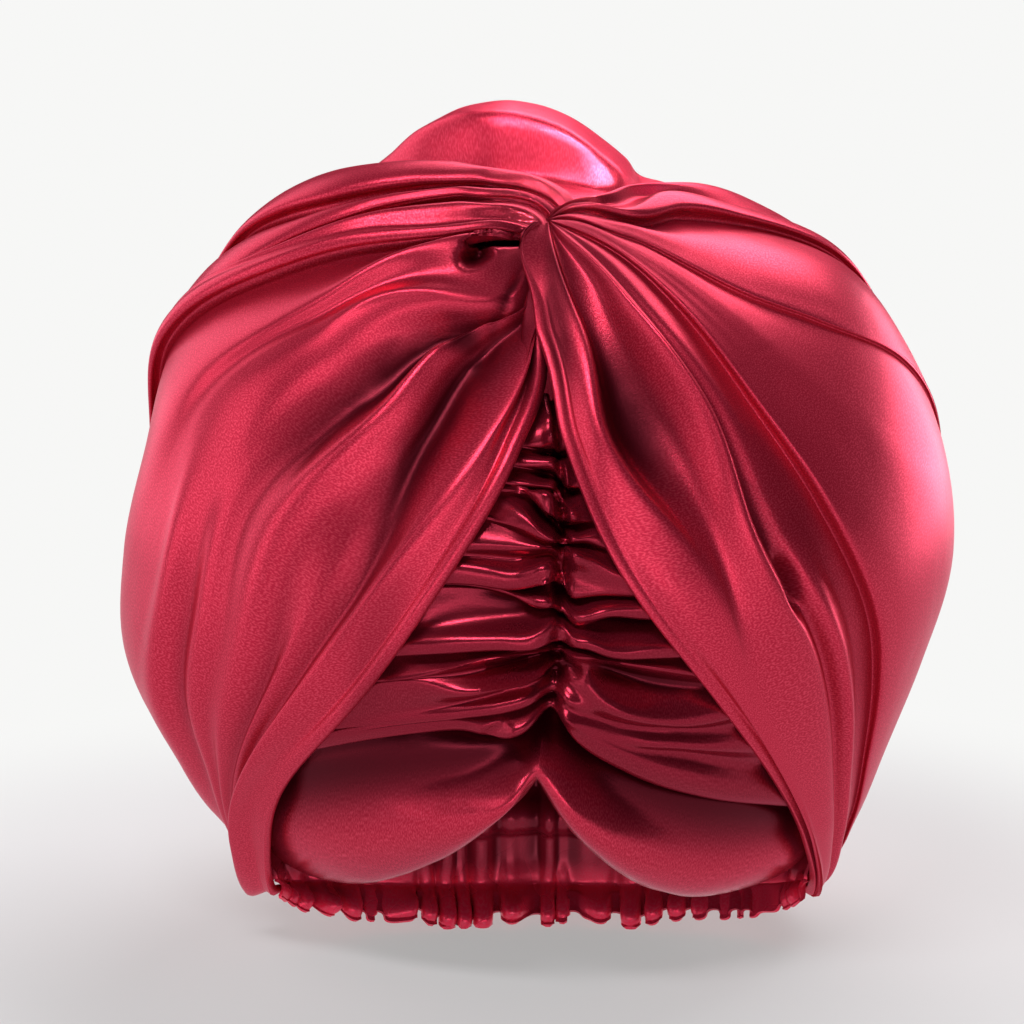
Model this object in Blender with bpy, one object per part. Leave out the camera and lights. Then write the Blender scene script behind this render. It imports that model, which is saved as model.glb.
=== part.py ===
"""A satin sleep bonnet with a twisted front, standing puffed out on its nape hem.

Lengths in the tables are millimetres and angles are degrees. The finished meshes are in metres,
+Z is up, the face side looks towards -Y, and the origin lies on the floor under the middle of the
bonnet. Every sheet is worked out from the body centre: a direction, the radius of the puffed body
in that direction, and the height of the folds above it.
"""

import bmesh
import bpy
import numpy as np

MM = 0.001

# ---- driving sizes -------------------------------------------------------------------------
BODY_CENTRE = (0.9, -10.5, 118.0)
CHART_RADIUS = 120.0  # turns a distance along the cloth into an angle at the body centre
KNOT_ELEVATION = 62.0
KNOT_AZIMUTH = 1.8
DRAPE_WALL = 1.9
CROWN_WALL = 2.6
PANEL_WALL = 1.6
HEM_WALL = 1.8
CROWN_TUCK = 3.5  # how far the crown lies under the drapes sewn over it
TUCK_WIDTH = 14.0  # the crown stays that low for this width, then rises over TUCK_RISE
TUCK_RISE = 9.0

# Radius of the puffed body by elevation: to the left, to the right, to the front, to the back.
BODY_TABLE = (
    # elevation left   right  front  back
    (-90.0, 121.0, 121.0, 121.0, 121.0),
    (-75.0, 121.0, 121.0, 114.0, 126.5),
    (-60.0, 127.5, 127.0, 112.0, 138.0),
    (-50.0, 131.5, 131.5, 110.0, 134.0),
    (-40.0, 125.5, 123.5, 108.0, 127.0),
    (-30.0, 123.0, 118.0, 105.0, 124.5),
    (-15.0, 126.5, 117.0, 103.0, 124.0),
    (0.0, 121.5, 121.0, 102.0, 124.0),
    (15.0, 119.5, 122.0, 101.0, 123.5),
    (30.0, 125.0, 121.5, 101.5, 122.5),
    (45.0, 125.0, 122.5, 105.0, 121.0),
    (60.0, 123.5, 117.5, 112.0, 120.0),
    (75.0, 121.0, 117.0, 117.0, 119.5),
    (90.0, 119.5, 119.5, 119.5, 119.5),
)

# ---- the two drapes ------------------------------------------------------------------------
# A fold line runs from the knot to the seam. Its bearing about the knot is given at these shares
# of its length, 0 up, 90 right, 180 down the front and 270 left, and its height at the same ones.
# LEFT_STARTS and RIGHT_STARTS hold how near the knot each line begins.
LINE_SHARES = (0.0, 0.06, 0.14, 0.27, 0.42, 0.60, 0.80, 1.0)

LEFT_BEARINGS = {
    "front_edge": (196, 187, 182, 188.5, 198, 209, 227.5, 231),
    "front_crest": (199, 188.5, 188.5, 195.5, 205.5, 217, 229, 232),
    "front_valley": (202, 190, 205, 213.5, 214, 220.5, 231.5, 234),
    "cheek_swell": (204, 191.5, 208.5, 218, 220.5, 223.5, 232.5, 235.5),
    "cheek_hollow": (206, 192.8, 211, 222.5, 229, 225.5, 233, 237),
    "cheek_ridge": (208, 194.2, 216, 227, 233, 230, 234, 238.5),
    "cheek_valley": (210, 196, 224, 232.5, 239, 234.5, 235.5, 240.5),
    "side_swell": (212, 198.5, 228, 238, 241.5, 238, 237.5, 243),
    "side_crease": (215, 201.5, 231.5, 242, 244, 241, 240, 247),
    "side_ridge": (218, 205.5, 236, 247, 251, 244, 244, 252),
    "brow_swell": (222, 212, 240, 252, 256, 251, 252, 259),
    "brow_dip": (236, 232, 248, 254.5, 259, 258, 258, 264),
    "brow_ridge": (252, 254, 256, 257, 262, 267, 268, 270),
    "bundle_crease": (262, 262, 264, 270, 273.5, 279, 283.5, 284),
    "bundle_edge": (276, 270, 268.5, 272.5, 275, 280.5, 285, 285.5),
    "curl_crease": (300, 284, 274.5, 275, 276.5, 281.5, 285.8, 286.5),
    "lower_pleat": (346, 297, 284.5, 279.5, 278, 282.5, 286.5, 287.5),
    "lower_crease": (376, 312, 295, 285, 281.2, 280.5, 286.8, 289),
    "middle_pleat": (386, 321, 301.5, 290.5, 286.5, 287.5, 291, 294),
    "middle_crease": (394, 332, 310, 297, 291.5, 292.5, 296.5, 299),
    "upper_pleat": (401, 352, 326, 312, 304, 302, 305, 307),
    "upper_edge": (408, 384, 347, 330, 321, 316.5, 316, 317),
}
LEFT_STARTS = {
    "front_edge": 14.0,
    "brow_ridge": 12.0,
    "bundle_crease": 8.0,
    "bundle_edge": 4.5,
    "curl_crease": 2.5,
    "lower_pleat": 4.5,
    "lower_crease": 8.0,
    "middle_pleat": 10.0,
    "upper_edge": 14.0,
}
LEFT_HEIGHTS = {
    "front_edge": (-2.6, -2.6, -1.5, 2.0, 2.5, 2.5, 2.0, 2.0),
    "front_crest": (-2.6, -2.6, 0.5, 4.0, 5.5, 5.0, 3.5, 2.5),
    "front_valley": (-2.6, -2.6, -0.5, 0.0, 0.4, 0.8, 1.0, 1.0),
    "cheek_swell": (-2.6, -2.6, 0.0, 1.4, 2.6, 2.6, 2.0, 1.5),
    "cheek_hollow": (-2.6, -2.6, 1.4, 2.5, 1.4, 0.6, 1.0, 1.0),
    "cheek_ridge": (-2.6, -2.6, 2.6, 5.4, 4.0, 2.6, 2.0, 1.5),
    "cheek_valley": (-2.6, -2.6, -0.5, -0.5, 0.4, 1.2, 1.0, 1.0),
    "side_swell": (-2.6, -2.4, 2.0, 3.4, 2.0, 2.4, 2.2, 1.5),
    "side_crease": (-2.6, -2.0, 3.4, 4.2, 2.8, 0.4, 0.8, 1.0),
    "side_ridge": (-2.6, -1.0, 4.4, 4.4, 3.6, 3.4, 3.4, 2.0),
    "brow_swell": (-2.6, 0.0, 5.0, 4.6, 3.8, 2.6, 2.6, 1.5),
    "brow_dip": (-2.6, 1.5, 3.6, 4.0, 3.6, 2.6, 2.2, 1.5),
    "brow_ridge": (-2.6, 4.0, 6.6, 5.6, 4.4, 3.2, 2.6, 1.5),
    "bundle_crease": (-2.6, 0.0, 0.0, 0.4, 0.8, 0.8, 1.0, 1.0),
    "bundle_edge": (-1.5, 3.5, 4.6, 5.0, 5.4, 5.6, 4.0, 2.0),
    "curl_crease": (-1.5, 1.0, 2.8, 4.4, 5.0, 5.2, 3.6, 2.0),
    "lower_pleat": (-1.5, 3.6, 5.4, 5.6, 5.4, 5.0, 3.6, 2.0),
    "lower_crease": (-2.6, 1.6, 1.4, 1.0, 1.0, 1.0, 1.0, 1.0),
    "middle_pleat": (-1.5, 4.0, 5.0, 5.0, 5.0, 4.6, 3.0, 2.0),
    "middle_crease": (-2.6, 1.6, 1.4, 1.0, 1.0, 1.0, 1.0, 1.0),
    "upper_pleat": (-1.5, 4.0, 5.6, 6.0, 6.0, 5.6, 4.0, 2.0),
    "upper_edge": (-2.6, 0.6, 1.0, 1.0, 1.0, 1.0, 1.0, 1.0),
}
RIGHT_BEARINGS = {
    "front_edge": (258, 204, 186, 177.5, 169, 155.5, 142, 130.5),
    "strip_hollow": (215, 188, 177.5, 173, 163.5, 153, 141.2, 130),
    "strip_ridge": (181, 173.5, 167.5, 167.8, 156.5, 151.5, 140.7, 129.6),
    "strip_valley": (172, 167, 162, 162.3, 153.5, 150, 140.2, 129.2),
    "temple_valley": (160, 151, 151, 149.8, 150, 148.5, 139.6, 128.6),
    "temple_ridge": (150, 143, 146, 144.5, 144.8, 145.5, 138.6, 127.8),
    "temple_hollow": (138, 137, 140.5, 140, 139.4, 139.6, 136.4, 126.6),
    "drop_ridge": (130, 133, 137.5, 137.5, 137, 136, 134, 125.4),
    "drop_valley": (124, 129, 134, 134, 133.6, 133, 131, 122),
    "broad_valley": (116, 125, 130, 129.8, 128.4, 126, 124.6, 118),
    "broad_ridge": (106, 121, 127, 126.8, 125.8, 122.5, 120, 114),
    "broad_middle": (88, 110, 116, 117, 115, 112, 110, 106),
    "side_valley": (68, 97, 106.5, 108.5, 104, 98.5, 91, 88.5),
    "side_ridge": (62, 93, 103.5, 106, 101.5, 95.5, 88, 86),
    "side_middle": (52, 82, 91, 93, 89, 84, 79, 77.5),
    "twist_valley": (42, 62, 76, 83, 75, 73, 71, 69),
    "twist_ridge": (34, 52, 66, 79.4, 68, 66.5, 66, 65.5),
    "twist_groove": (28, 46, 59, 70, 63, 62, 62, 61),
    "upper_pleat": (20, 38, 52, 60, 56, 54, 53, 53),
    "upper_edge": (8, 26, 46, 56, 51, 47, 45, 45),
}
RIGHT_STARTS = {"front_edge": 4.0, "strip_ridge": 2.5, "upper_edge": 2.5}
RIGHT_HEIGHTS = {
    "front_edge": (2.5, 2.6, 3.0, 3.0, 2.8, 2.5, 2.0, 2.0),
    "strip_hollow": (2.2, 2.4, 2.6, 2.8, 3.6, 4.0, 3.0, 2.2),
    "strip_ridge": (3.0, 4.6, 6.4, 6.2, 3.8, 4.4, 3.2, 2.2),
    "strip_valley": (2.4, 1.6, 0.2, -0.4, 2.8, 4.2, 3.2, 2.2),
    "temple_valley": (2.2, 2.0, 1.8, 1.6, 1.8, 4.2, 3.2, 2.2),
    "temple_ridge": (3.2, 4.6, 6.6, 6.4, 5.4, 4.4, 3.4, 2.2),
    "temple_hollow": (2.8, 4.0, 4.4, 3.6, 1.0, 1.4, 2.0, 1.5),
    "drop_ridge": (2.8, 4.0, 4.4, 3.8, 4.4, 5.0, 4.4, 2.4),
    "drop_valley": (2.6, 3.8, 4.0, 3.2, 2.6, 2.0, 2.0, 1.5),
    "broad_valley": (2.2, 1.0, 0.4, 0.4, 0.4, 0.8, 1.2, 1.0),
    "broad_ridge": (3.2, 5.0, 6.0, 6.0, 5.6, 4.4, 3.2, 2.0),
    "broad_middle": (3.0, 4.0, 4.4, 4.6, 4.2, 3.6, 2.8, 2.0),
    "side_valley": (2.2, 1.4, 1.0, 1.0, 1.0, 1.0, 1.0, 1.0),
    "side_ridge": (3.2, 4.4, 5.0, 5.0, 4.6, 3.8, 2.8, 2.0),
    "side_middle": (3.0, 3.8, 4.2, 4.2, 4.0, 3.4, 2.6, 1.8),
    "twist_valley": (2.2, 2.0, 1.6, 0.4, 0.4, 0.6, 1.0, 1.0),
    "twist_ridge": (3.0, 4.0, 4.4, 5.0, 4.6, 4.0, 2.8, 2.0),
    "twist_groove": (2.4, 2.6, 3.0, 1.6, 1.4, 1.4, 1.2, 1.0),
    "upper_pleat": (3.0, 3.8, 4.4, 4.2, 4.0, 3.6, 2.6, 1.8),
    "upper_edge": (2.0, 1.6, 1.2, 1.0, 1.0, 1.0, 1.0, 1.0),
}
SHARP_LINES = ("crease", "valley", "groove", "edge", "ridge")  # the rest are rounded

# Where the lines end: the side seam and the lower edge down to the ear corner.
LEFT_SEAM = (
    # bearing, distance from the knot
    (231.0, 270.0),
    (240.0, 279.0),
    (250.0, 290.0),
    (259.0, 274.0),
    (266.0, 257.0),
    (277.0, 221.0),
    (287.0, 183.0),
    (296.0, 146.0),
    (308.0, 111.0),
    (317.0, 94.0),
)
RIGHT_SEAM = (
    (45.0, 92.0),
    (54.0, 108.0),
    (67.0, 143.0),
    (76.0, 180.0),
    (86.0, 217.0),
    (97.0, 253.0),
    (104.0, 270.0),
    (112.0, 287.0),
    (121.0, 277.0),
    (130.5, 269.0),
)

# Hollows pressed into the drapes: place from the knot, size across and along, and depth.
HOLLOWS = (
    # side    bearing reach across along depth
    ("left", 243.0, 18.0, 5.5, 6.5, 9.0),
    ("right", 139.5, 134.0, 6.0, 11.0, 3.5),
)

# ---- the ruched front panel ----------------------------------------------------------------
# A row of the panel runs out from the gathered seam to each side, under the drapes.
PANEL_TABLE = (
    # share, seam az, el, left middle az, el, left end az, el, right middle az, el, right end az, el,
    # how far the ends lie inside the body
    (0.00, 2.0, 37.0, -2.0, 37.0, -5.5, 37.0, 4.0, 37.0, 6.0, 37.0, 2.4),
    (0.15, 3.0, 26.0, -3.0, 26.5, -8.5, 27.0, 6.0, 26.0, 9.5, 26.0, 2.1),
    (0.32, 3.5, 14.5, -6.0, 15.0, -15.0, 16.0, 8.0, 14.0, 13.5, 14.0, 2.1),
    (0.48, 3.0, 4.0, -8.0, 4.5, -20.5, 4.0, 11.0, 3.0, 19.5, 2.0, 2.1),
    (0.62, 3.0, -4.0, -11.0, -4.0, -26.0, -5.0, 14.0, -5.0, 26.0, -7.0, 2.1),
    (0.75, 2.0, -12.0, -19.0, -17.0, -42.0, -21.0, 16.0, -17.0, 38.0, -19.0, 2.1),
    (0.88, 1.0, -19.0, -25.0, -26.5, -62.0, -34.0, 22.0, -28.0, 60.0, -37.0, 4.6),
    (1.00, -1.0, -27.0, -33.0, -49.0, -79.0, -50.0, 33.0, -53.0, 79.0, -50.0, 9.5),
)
PANEL_RECESS = 6.0  # how far the panel's middle lies inside the body
SEAM_DEPTH = 3.0
SEAM_WIDTH = 0.10  # share of a half row
# Folds across the panel: share down the seam, middle and end, height at each, and half width.
PANEL_FOLDS = (
    # side   seam  middle end   heights         half width
    ("left", 0.17, 0.16, 0.14, 2.0, 1.5, 0.6, 0.030),
    ("left", 0.26, 0.24, 0.20, 3.0, 2.0, 0.6, 0.032),
    ("left", 0.36, 0.35, 0.33, 3.5, 3.0, 1.0, 0.034),
    ("left", 0.44, 0.46, 0.45, 3.0, 2.0, 0.6, 0.030),
    ("left", 0.56, 0.58, 0.60, 4.0, 3.5, 1.4, 0.036),
    ("left", 0.66, 0.66, 0.67, 3.5, 3.0, 1.0, 0.036),
    ("left", 0.73, 0.74, 0.74, 2.5, 2.5, 1.2, 0.034),
    ("left", 0.91, 0.94, 0.95, 4.5, 5.5, 2.2, 0.060),
    ("right", 0.20, 0.20, 0.20, 2.0, 1.5, 0.6, 0.030),
    ("right", 0.29, 0.29, 0.29, 2.5, 2.0, 0.6, 0.030),
    ("right", 0.37, 0.39, 0.41, 3.5, 3.0, 1.0, 0.034),
    ("right", 0.48, 0.49, 0.50, 2.5, 2.0, 0.8, 0.030),
    ("right", 0.57, 0.59, 0.60, 3.5, 3.5, 1.4, 0.034),
    ("right", 0.67, 0.69, 0.70, 4.0, 4.0, 1.4, 0.034),
    ("right", 0.80, 0.82, 0.84, 4.0, 3.5, 1.4, 0.040),
    ("right", 0.95, 0.94, 0.95, 4.0, 5.5, 2.2, 0.050),
)

# ---- the crown -----------------------------------------------------------------------------
CROWN_POLE = (180.0, 35.0)  # azimuth, elevation
# The crown's front and side edge, from the left ear corner over the top to the right one.
CROWN_EDGE = (
    # azimuth, elevation
    (-80.0, -48.0),
    (-91.0, -42.0),
    (-95.0, -30.0),
    (-95.5, -10.0),
    (-95.5, 15.0),
    (-95.5, 38.0),
    (-88.0, 58.0),
    (-62.0, 66.5),
    (-25.0, 69.5),
    (0.0, 70.0),
    (18.0, 67.5),
    (36.0, 63.5),
    (62.0, 63.5),
    (86.0, 59.0),
    (95.5, 42.0),
    (96.5, 15.0),
    (96.0, -10.0),
    (95.5, -30.0),
    (91.0, -42.0),
    (80.0, -48.0),
)
LOBE_HEIGHT = 12.0
LOBE_TABLE = (
    # right of the middle, height share
    (-58.0, 0.0),
    (-45.0, 0.15),
    (-33.0, 0.60),
    (-22.0, 0.93),
    (-12.0, 1.0),
    (-2.0, 0.93),
    (8.0, 0.70),
    (17.0, 0.32),
    (25.0, -0.15),
    (36.0, -0.22),
    (48.0, 0.0),
)
LOBE_BACK = 55.0  # how far back of the middle the puff has died away
LOBE_FOOT = 70.0  # it starts this high above the body centre and is full LOBE_RISE above that
LOBE_RISE = 35.0
GATHER_COUNT = 11
GATHER_HEIGHT = 2.2
GATHER_REACH = 45.0  # how far from the hem the gathers have died away

# ---- the nape hem --------------------------------------------------------------------------
HEM_HALF_WIDTH = 76.0
HEM_SAG = 40.0  # how far the corners stand in front of the middle of the hem
HEM_BACK = 10.0  # how far the middle of the stitch line lies behind the body centre
HEM_HEIGHT = 10.0
HEM_CORNER_RISE = 13.0
HEM_LIFT_REACH = 26.0  # over this distance the crown runs from the hem onto the puffed body
HEM_CROWN_GAP = 0.10  # the crown ends this share of the ruffle's depth short of the stitch line
HEM_CROWN_SHARE = 0.985  # and spans this share of its length
RUFFLE_FLAT_SHARE = 0.2  # share of the ruffle, about its middle, that stands on the floor
RUFFLE_CORNER_RISE = 17.0
RUFFLE_TAPER = 1.5  # how much narrower the ruffle's foot is than the stitch line, at each end
RUFFLE_FLARE = 11.0  # how far its foot stands in front, and by how much less at the corners
RUFFLE_CORNER_FLARE_LOSS = 7.0
RUFFLE_COUNT = 27
RUFFLE_DEPTH = 1.9
RUFFLE_STITCHED_SHARE = 0.15  # share of that depth left at the stitch line
RUFFLE_ROWS = (0.0, 0.5, 1.0)

# ---- mesh fineness -------------------------------------------------------------------------
LINE_STEPS = 2
DRAPE_ROWS = 14
PANEL_HALF_COLUMNS = 9
PANEL_ROWS = 31
CROWN_EDGE_SPOKES = 42
CROWN_HEM_SPOKES = 40
CROWN_RINGS = 10
RUFFLE_STEPS = 4

CRIMSON = (0.36, 0.015, 0.045, 1.0)
DEEP_CRIMSON = (0.27, 0.010, 0.030, 1.0)


def smooth_curve(stations, values, at):
    """A cubic through the values given at the stations, read at the places asked for."""
    stations = np.asarray(stations, float)
    values = np.asarray(values, float)
    slopes = np.gradient(values, stations)
    span = np.clip(np.searchsorted(stations, at, side="right") - 1, 0, len(stations) - 2)
    width = stations[span + 1] - stations[span]
    x = np.clip((at - stations[span]) / width, 0.0, 1.0)
    start = (2 * x**3 - 3 * x**2 + 1) * values[span]
    start = start + (x**3 - 2 * x**2 + x) * width * slopes[span]
    end = (-2 * x**3 + 3 * x**2) * values[span + 1]
    return start + end + (x**3 - x**2) * width * slopes[span + 1]


def smooth_step(x):
    x = np.clip(x, 0.0, 1.0)
    return x * x * (3.0 - 2.0 * x)


def direction(azimuth, elevation):
    """Unit vector from the body centre: azimuth 0 is the front and 90 the right."""
    azimuth = np.radians(azimuth)
    elevation = np.radians(elevation)
    flat = np.cos(elevation)
    return np.stack([np.sin(azimuth) * flat, -np.cos(azimuth) * flat, np.sin(elevation)], -1)


def unit(vectors):
    return vectors / np.linalg.norm(vectors, axis=-1, keepdims=True)


def body_radius(towards):
    """Radius of the puffed body: an ellipse round each level, its half axes from the table."""
    table = np.array(BODY_TABLE)
    elevation = np.degrees(np.arcsin(np.clip(towards[..., 2], -1.0, 1.0)))
    left, right, front, back = (smooth_curve(table[:, 0], table[:, k], elevation) for k in range(1, 5))
    flat = np.hypot(towards[..., 0], towards[..., 1]) + 1e-9
    across = towards[..., 0] / flat
    ahead = -towards[..., 1] / flat
    side = np.where(across < 0.0, left, right)
    depth = np.where(ahead > 0.0, front, back)
    return 1.0 / np.sqrt((across / side) ** 2 + (ahead / depth) ** 2)


def knot_axes():
    knot = direction(KNOT_AZIMUTH, KNOT_ELEVATION)
    up = unit(np.array([0.0, 0.0, 1.0]) - knot[2] * knot)
    return knot, up, np.cross(knot, up) * -1.0


def from_knot(bearing, reach):
    """Direction at a bearing about the knot and a distance along the cloth from it."""
    knot, up, right = knot_axes()
    bearing = np.radians(bearing)[..., None]
    angle = (reach / CHART_RADIUS)[..., None]
    sideways = np.cos(bearing) * up + np.sin(bearing) * right
    return np.cos(angle) * knot + np.sin(angle) * sideways


def place(towards, radius):
    """Points on the floor or above it, at this radius from the body centre."""
    points = towards * radius[..., None] + np.array(BODY_CENTRE)
    points[..., 2] = np.maximum(points[..., 2], 0.0)
    return points


def under(points, wall):
    """The inner side of a sheet: each point moved towards the body centre by the wall."""
    inward = unit(np.array(BODY_CENTRE) - points)
    return points + inward * wall


def closed_sheet(outer, inner, ring=False):
    """Vertices and faces of a sheet with two sides and an edge all round, from two point grids.

    Where ring is set the last column joins the first, and the first row is one point.
    """
    rows, columns = outer.shape[:2]
    count = rows * columns
    index = np.arange(count).reshape(rows, columns)
    if ring:
        index = np.concatenate([index, index[:, :1]], axis=1)
    a = index[:-1, :-1].ravel()
    b = index[:-1, 1:].ravel()
    c = index[1:, 1:].ravel()
    d = index[1:, :-1].ravel()
    top = np.stack([a, b, c, d], 1)
    under_side = np.stack([d, c, b, a], 1) + count
    borders = [index[-1]] if ring else [index[0], index[-1][::-1], index[::-1, 0], index[:, -1]]
    walls = [np.stack([e[:-1], e[1:], e[1:] + count, e[:-1] + count], 1) for e in borders]
    points = np.concatenate([outer.reshape(-1, 3), inner.reshape(-1, 3)])
    return points, np.concatenate([top, under_side, *walls])


def add_piece(name, points, faces, colour):
    """One closed solid with its own satin material, its faces pointing out."""
    mesh = bpy.data.meshes.new(name)
    mesh.from_pydata((points * MM).tolist(), [], faces.tolist())
    shape = bmesh.new()
    shape.from_mesh(mesh)
    bmesh.ops.remove_doubles(shape, verts=shape.verts, dist=1e-6)
    bmesh.ops.dissolve_degenerate(shape, edges=shape.edges, dist=1e-7)
    bmesh.ops.triangulate(shape, faces=shape.faces, quad_method="SHORT_EDGE")
    bmesh.ops.recalc_face_normals(shape, faces=shape.faces)
    if shape.calc_volume(signed=True) < 0.0:
        bmesh.ops.reverse_faces(shape, faces=shape.faces)
    shape.to_mesh(mesh)
    shape.free()
    mesh.shade_smooth()
    material = bpy.data.materials.new(name + "_satin")
    material.use_nodes = True
    surface = material.node_tree.nodes["Principled BSDF"]
    surface.inputs["Base Color"].default_value = colour
    surface.inputs["Roughness"].default_value = 0.34
    surface.inputs["Metallic"].default_value = 0.25
    mesh.materials.append(material)
    piece = bpy.data.objects.new(name, mesh)
    bpy.context.scene.collection.objects.link(piece)
    return piece


def line_kind(name):
    return "sharp" if name.split("_")[-1] in SHARP_LINES else "round"


def between_lines(share, kind_a, kind_b):
    """How the cloth rises from one fold line to the next: straight off a sharp one, level off a round one."""
    if kind_a == "sharp" and kind_b == "sharp":
        return smooth_step(share) * 0.4 + share * 0.6
    if kind_a == "sharp":
        return np.sin(share * np.pi / 2)
    if kind_b == "sharp":
        return 1.0 - np.cos(share * np.pi / 2)
    return smooth_step(share)


def drape_grid(bearings, starts, heights, seam):
    """Bearing, reach and fold height over a drape: columns across its fold lines, rows out from the knot."""
    names = list(bearings)
    order = np.arange(len(names))
    start = np.interp(order, [names.index(key) for key in starts], list(starts.values()))
    seam = np.array(seam)
    along = np.linspace(0.0, 1.0, DRAPE_ROWS + 1) ** 1.25
    line_bearing = []
    line_reach = []
    line_height = []
    for name, first in zip(names, start):
        end = np.interp(bearings[name][-1], seam[:, 0], seam[:, 1])
        line_bearing.append(smooth_curve(LINE_SHARES, bearings[name], along))
        line_reach.append(first + (end - first) * along)
        line_height.append(smooth_curve(LINE_SHARES, heights[name], along))
    columns = []
    for k in range(len(names) - 1):
        last = k == len(names) - 2
        for step in range(LINE_STEPS + last):
            share = step / LINE_STEPS
            rise = between_lines(share, line_kind(names[k]), line_kind(names[k + 1]))
            columns.append(
                (
                    line_bearing[k] + (line_bearing[k + 1] - line_bearing[k]) * share,
                    line_reach[k] + (line_reach[k + 1] - line_reach[k]) * share,
                    line_height[k] + (line_height[k + 1] - line_height[k]) * rise,
                )
            )
    return np.array(columns).transpose(1, 2, 0)


def hollow_depth(side, bearing, reach):
    """Depth of the hollows at a place: each is a smooth round-shouldered pit."""
    depth = np.zeros_like(reach)
    for owner, pit_bearing, pit_reach, across, along, pit_depth in HOLLOWS:
        if owner != side:
            continue
        sideways = np.radians(bearing - pit_bearing) * reach
        distance = np.sqrt((sideways / across) ** 2 + ((reach - pit_reach) / along) ** 2)
        depth = depth + pit_depth * (1.0 - smooth_step(distance / 1.6))
    return depth


def make_drape(name, side, bearings, starts, heights, seam):
    bearing, reach, height = drape_grid(bearings, starts, heights, seam)
    towards = from_knot(bearing, reach)
    height = height - hollow_depth(side, bearing, reach)
    outer = place(towards, body_radius(towards) + height)
    add_piece(name, *closed_sheet(outer, under(outer, DRAPE_WALL)), CRIMSON)


def panel_half(side, share_down, share_out):
    """Azimuth, elevation and fold height over one half of the panel."""
    table = np.array(PANEL_TABLE)
    first = 3 if side == "left" else 7
    corners = [smooth_curve(table[:, 0], table[:, k], share_down) for k in (1, 2, *range(first, first + 4), 11)]
    seam_az, seam_el, middle_az, middle_el, end_az, end_el, end_recess = corners
    near = 2 * (share_out - 0.5) * (share_out - 1.0)
    middle = 4 * share_out * (1.0 - share_out)
    far = 2 * share_out * (share_out - 0.5)
    azimuth = near * seam_az + middle * middle_az + far * end_az
    elevation = near * seam_el + middle * middle_el + far * end_el
    height = np.zeros_like(share_out)
    for owner, at_seam, at_middle, at_end, h_seam, h_middle, h_end, half_width in PANEL_FOLDS:
        if owner != side:
            continue
        centre = near * at_seam + middle * at_middle + far * at_end
        crest = near * h_seam + middle * h_middle + far * h_end
        height = np.maximum(height, crest * (1.0 - smooth_step(np.abs(share_down - centre) / half_width)))
    groove = np.exp(-((share_out / SEAM_WIDTH) ** 2))
    height = height * (1.0 - groove) - SEAM_DEPTH * groove
    recess = PANEL_RECESS + (end_recess - PANEL_RECESS) * share_out**2
    return azimuth, elevation, height - recess


def make_ruched_panel():
    down = np.linspace(0.0, 1.0, PANEL_ROWS)[:, None]
    out = np.linspace(0.0, 1.0, PANEL_HALF_COLUMNS + 1)[None, :] ** 1.2
    down, out = np.broadcast_arrays(down, out)
    left = panel_half("left", down, out)
    right = panel_half("right", down, out)
    azimuth, elevation, height = (np.concatenate([a[:, :0:-1], b], axis=1) for a, b in zip(left, right))
    towards = direction(azimuth, elevation)
    outer = place(towards, body_radius(towards) + height)
    add_piece("ruched_panel", *closed_sheet(outer, under(outer, PANEL_WALL)), DEEP_CRIMSON)


def hem_line(turn, drop):
    """Points of the nape hem: turn runs from -1 at the left ear to 1 at the right one, drop from 0 at
    the stitch line to 1 at the foot of the ruffle."""
    angle = turn * np.pi / 2
    rise = (np.maximum(np.abs(turn) - RUFFLE_FLAT_SHARE, 0.0) / (1.0 - RUFFLE_FLAT_SHARE)) ** 1.3
    sag = HEM_SAG - RUFFLE_CORNER_FLARE_LOSS * drop
    x = BODY_CENTRE[0] + (HEM_HALF_WIDTH - RUFFLE_TAPER * drop) * np.sin(angle)
    y = BODY_CENTRE[1] + HEM_BACK - RUFFLE_FLARE * drop - sag * (1.0 - np.cos(angle))
    z = (HEM_HEIGHT + HEM_CORNER_RISE * rise) * (1.0 - drop) + RUFFLE_CORNER_RISE * rise * drop
    return np.stack([x, y, z], -1)


def crown_edge_points():
    """The crown's whole edge as points about the body centre, and a mark on those along the hem."""
    keys = np.array(CROWN_EDGE)
    stations = np.arange(len(keys), dtype=float)
    at = np.linspace(0.0, len(keys) - 1.0, CROWN_EDGE_SPOKES)
    towards = direction(smooth_curve(stations, keys[:, 0], at), smooth_curve(stations, keys[:, 1], at))
    sewn = towards * (body_radius(towards) - CROWN_TUCK)[:, None]
    turn = np.linspace(1.0, -1.0, CROWN_HEM_SPOKES + 2)[1:-1]
    hem = hem_line(turn * HEM_CROWN_SHARE, -HEM_CROWN_GAP) - np.array(BODY_CENTRE)
    on_hem = np.concatenate([np.zeros(len(sewn)), np.ones(len(hem))])
    turns = np.concatenate([np.zeros(len(sewn)), turn])
    return np.concatenate([sewn, hem]), on_hem, turns


def lobe_height(towards):
    """The puff behind the knot: a rise from the left, a steep fall on the right, dying away to the back."""
    points = towards * CHART_RADIUS
    table = np.array(LOBE_TABLE)
    across = smooth_curve(table[:, 0], table[:, 1], np.clip(points[..., 0], table[0, 0], table[-1, 0]))
    backwards = 1.0 - smooth_step(points[..., 1] / LOBE_BACK)
    above = smooth_step((points[..., 2] - LOBE_FOOT) / LOBE_RISE)
    return LOBE_HEIGHT * across * backwards * above


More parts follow.
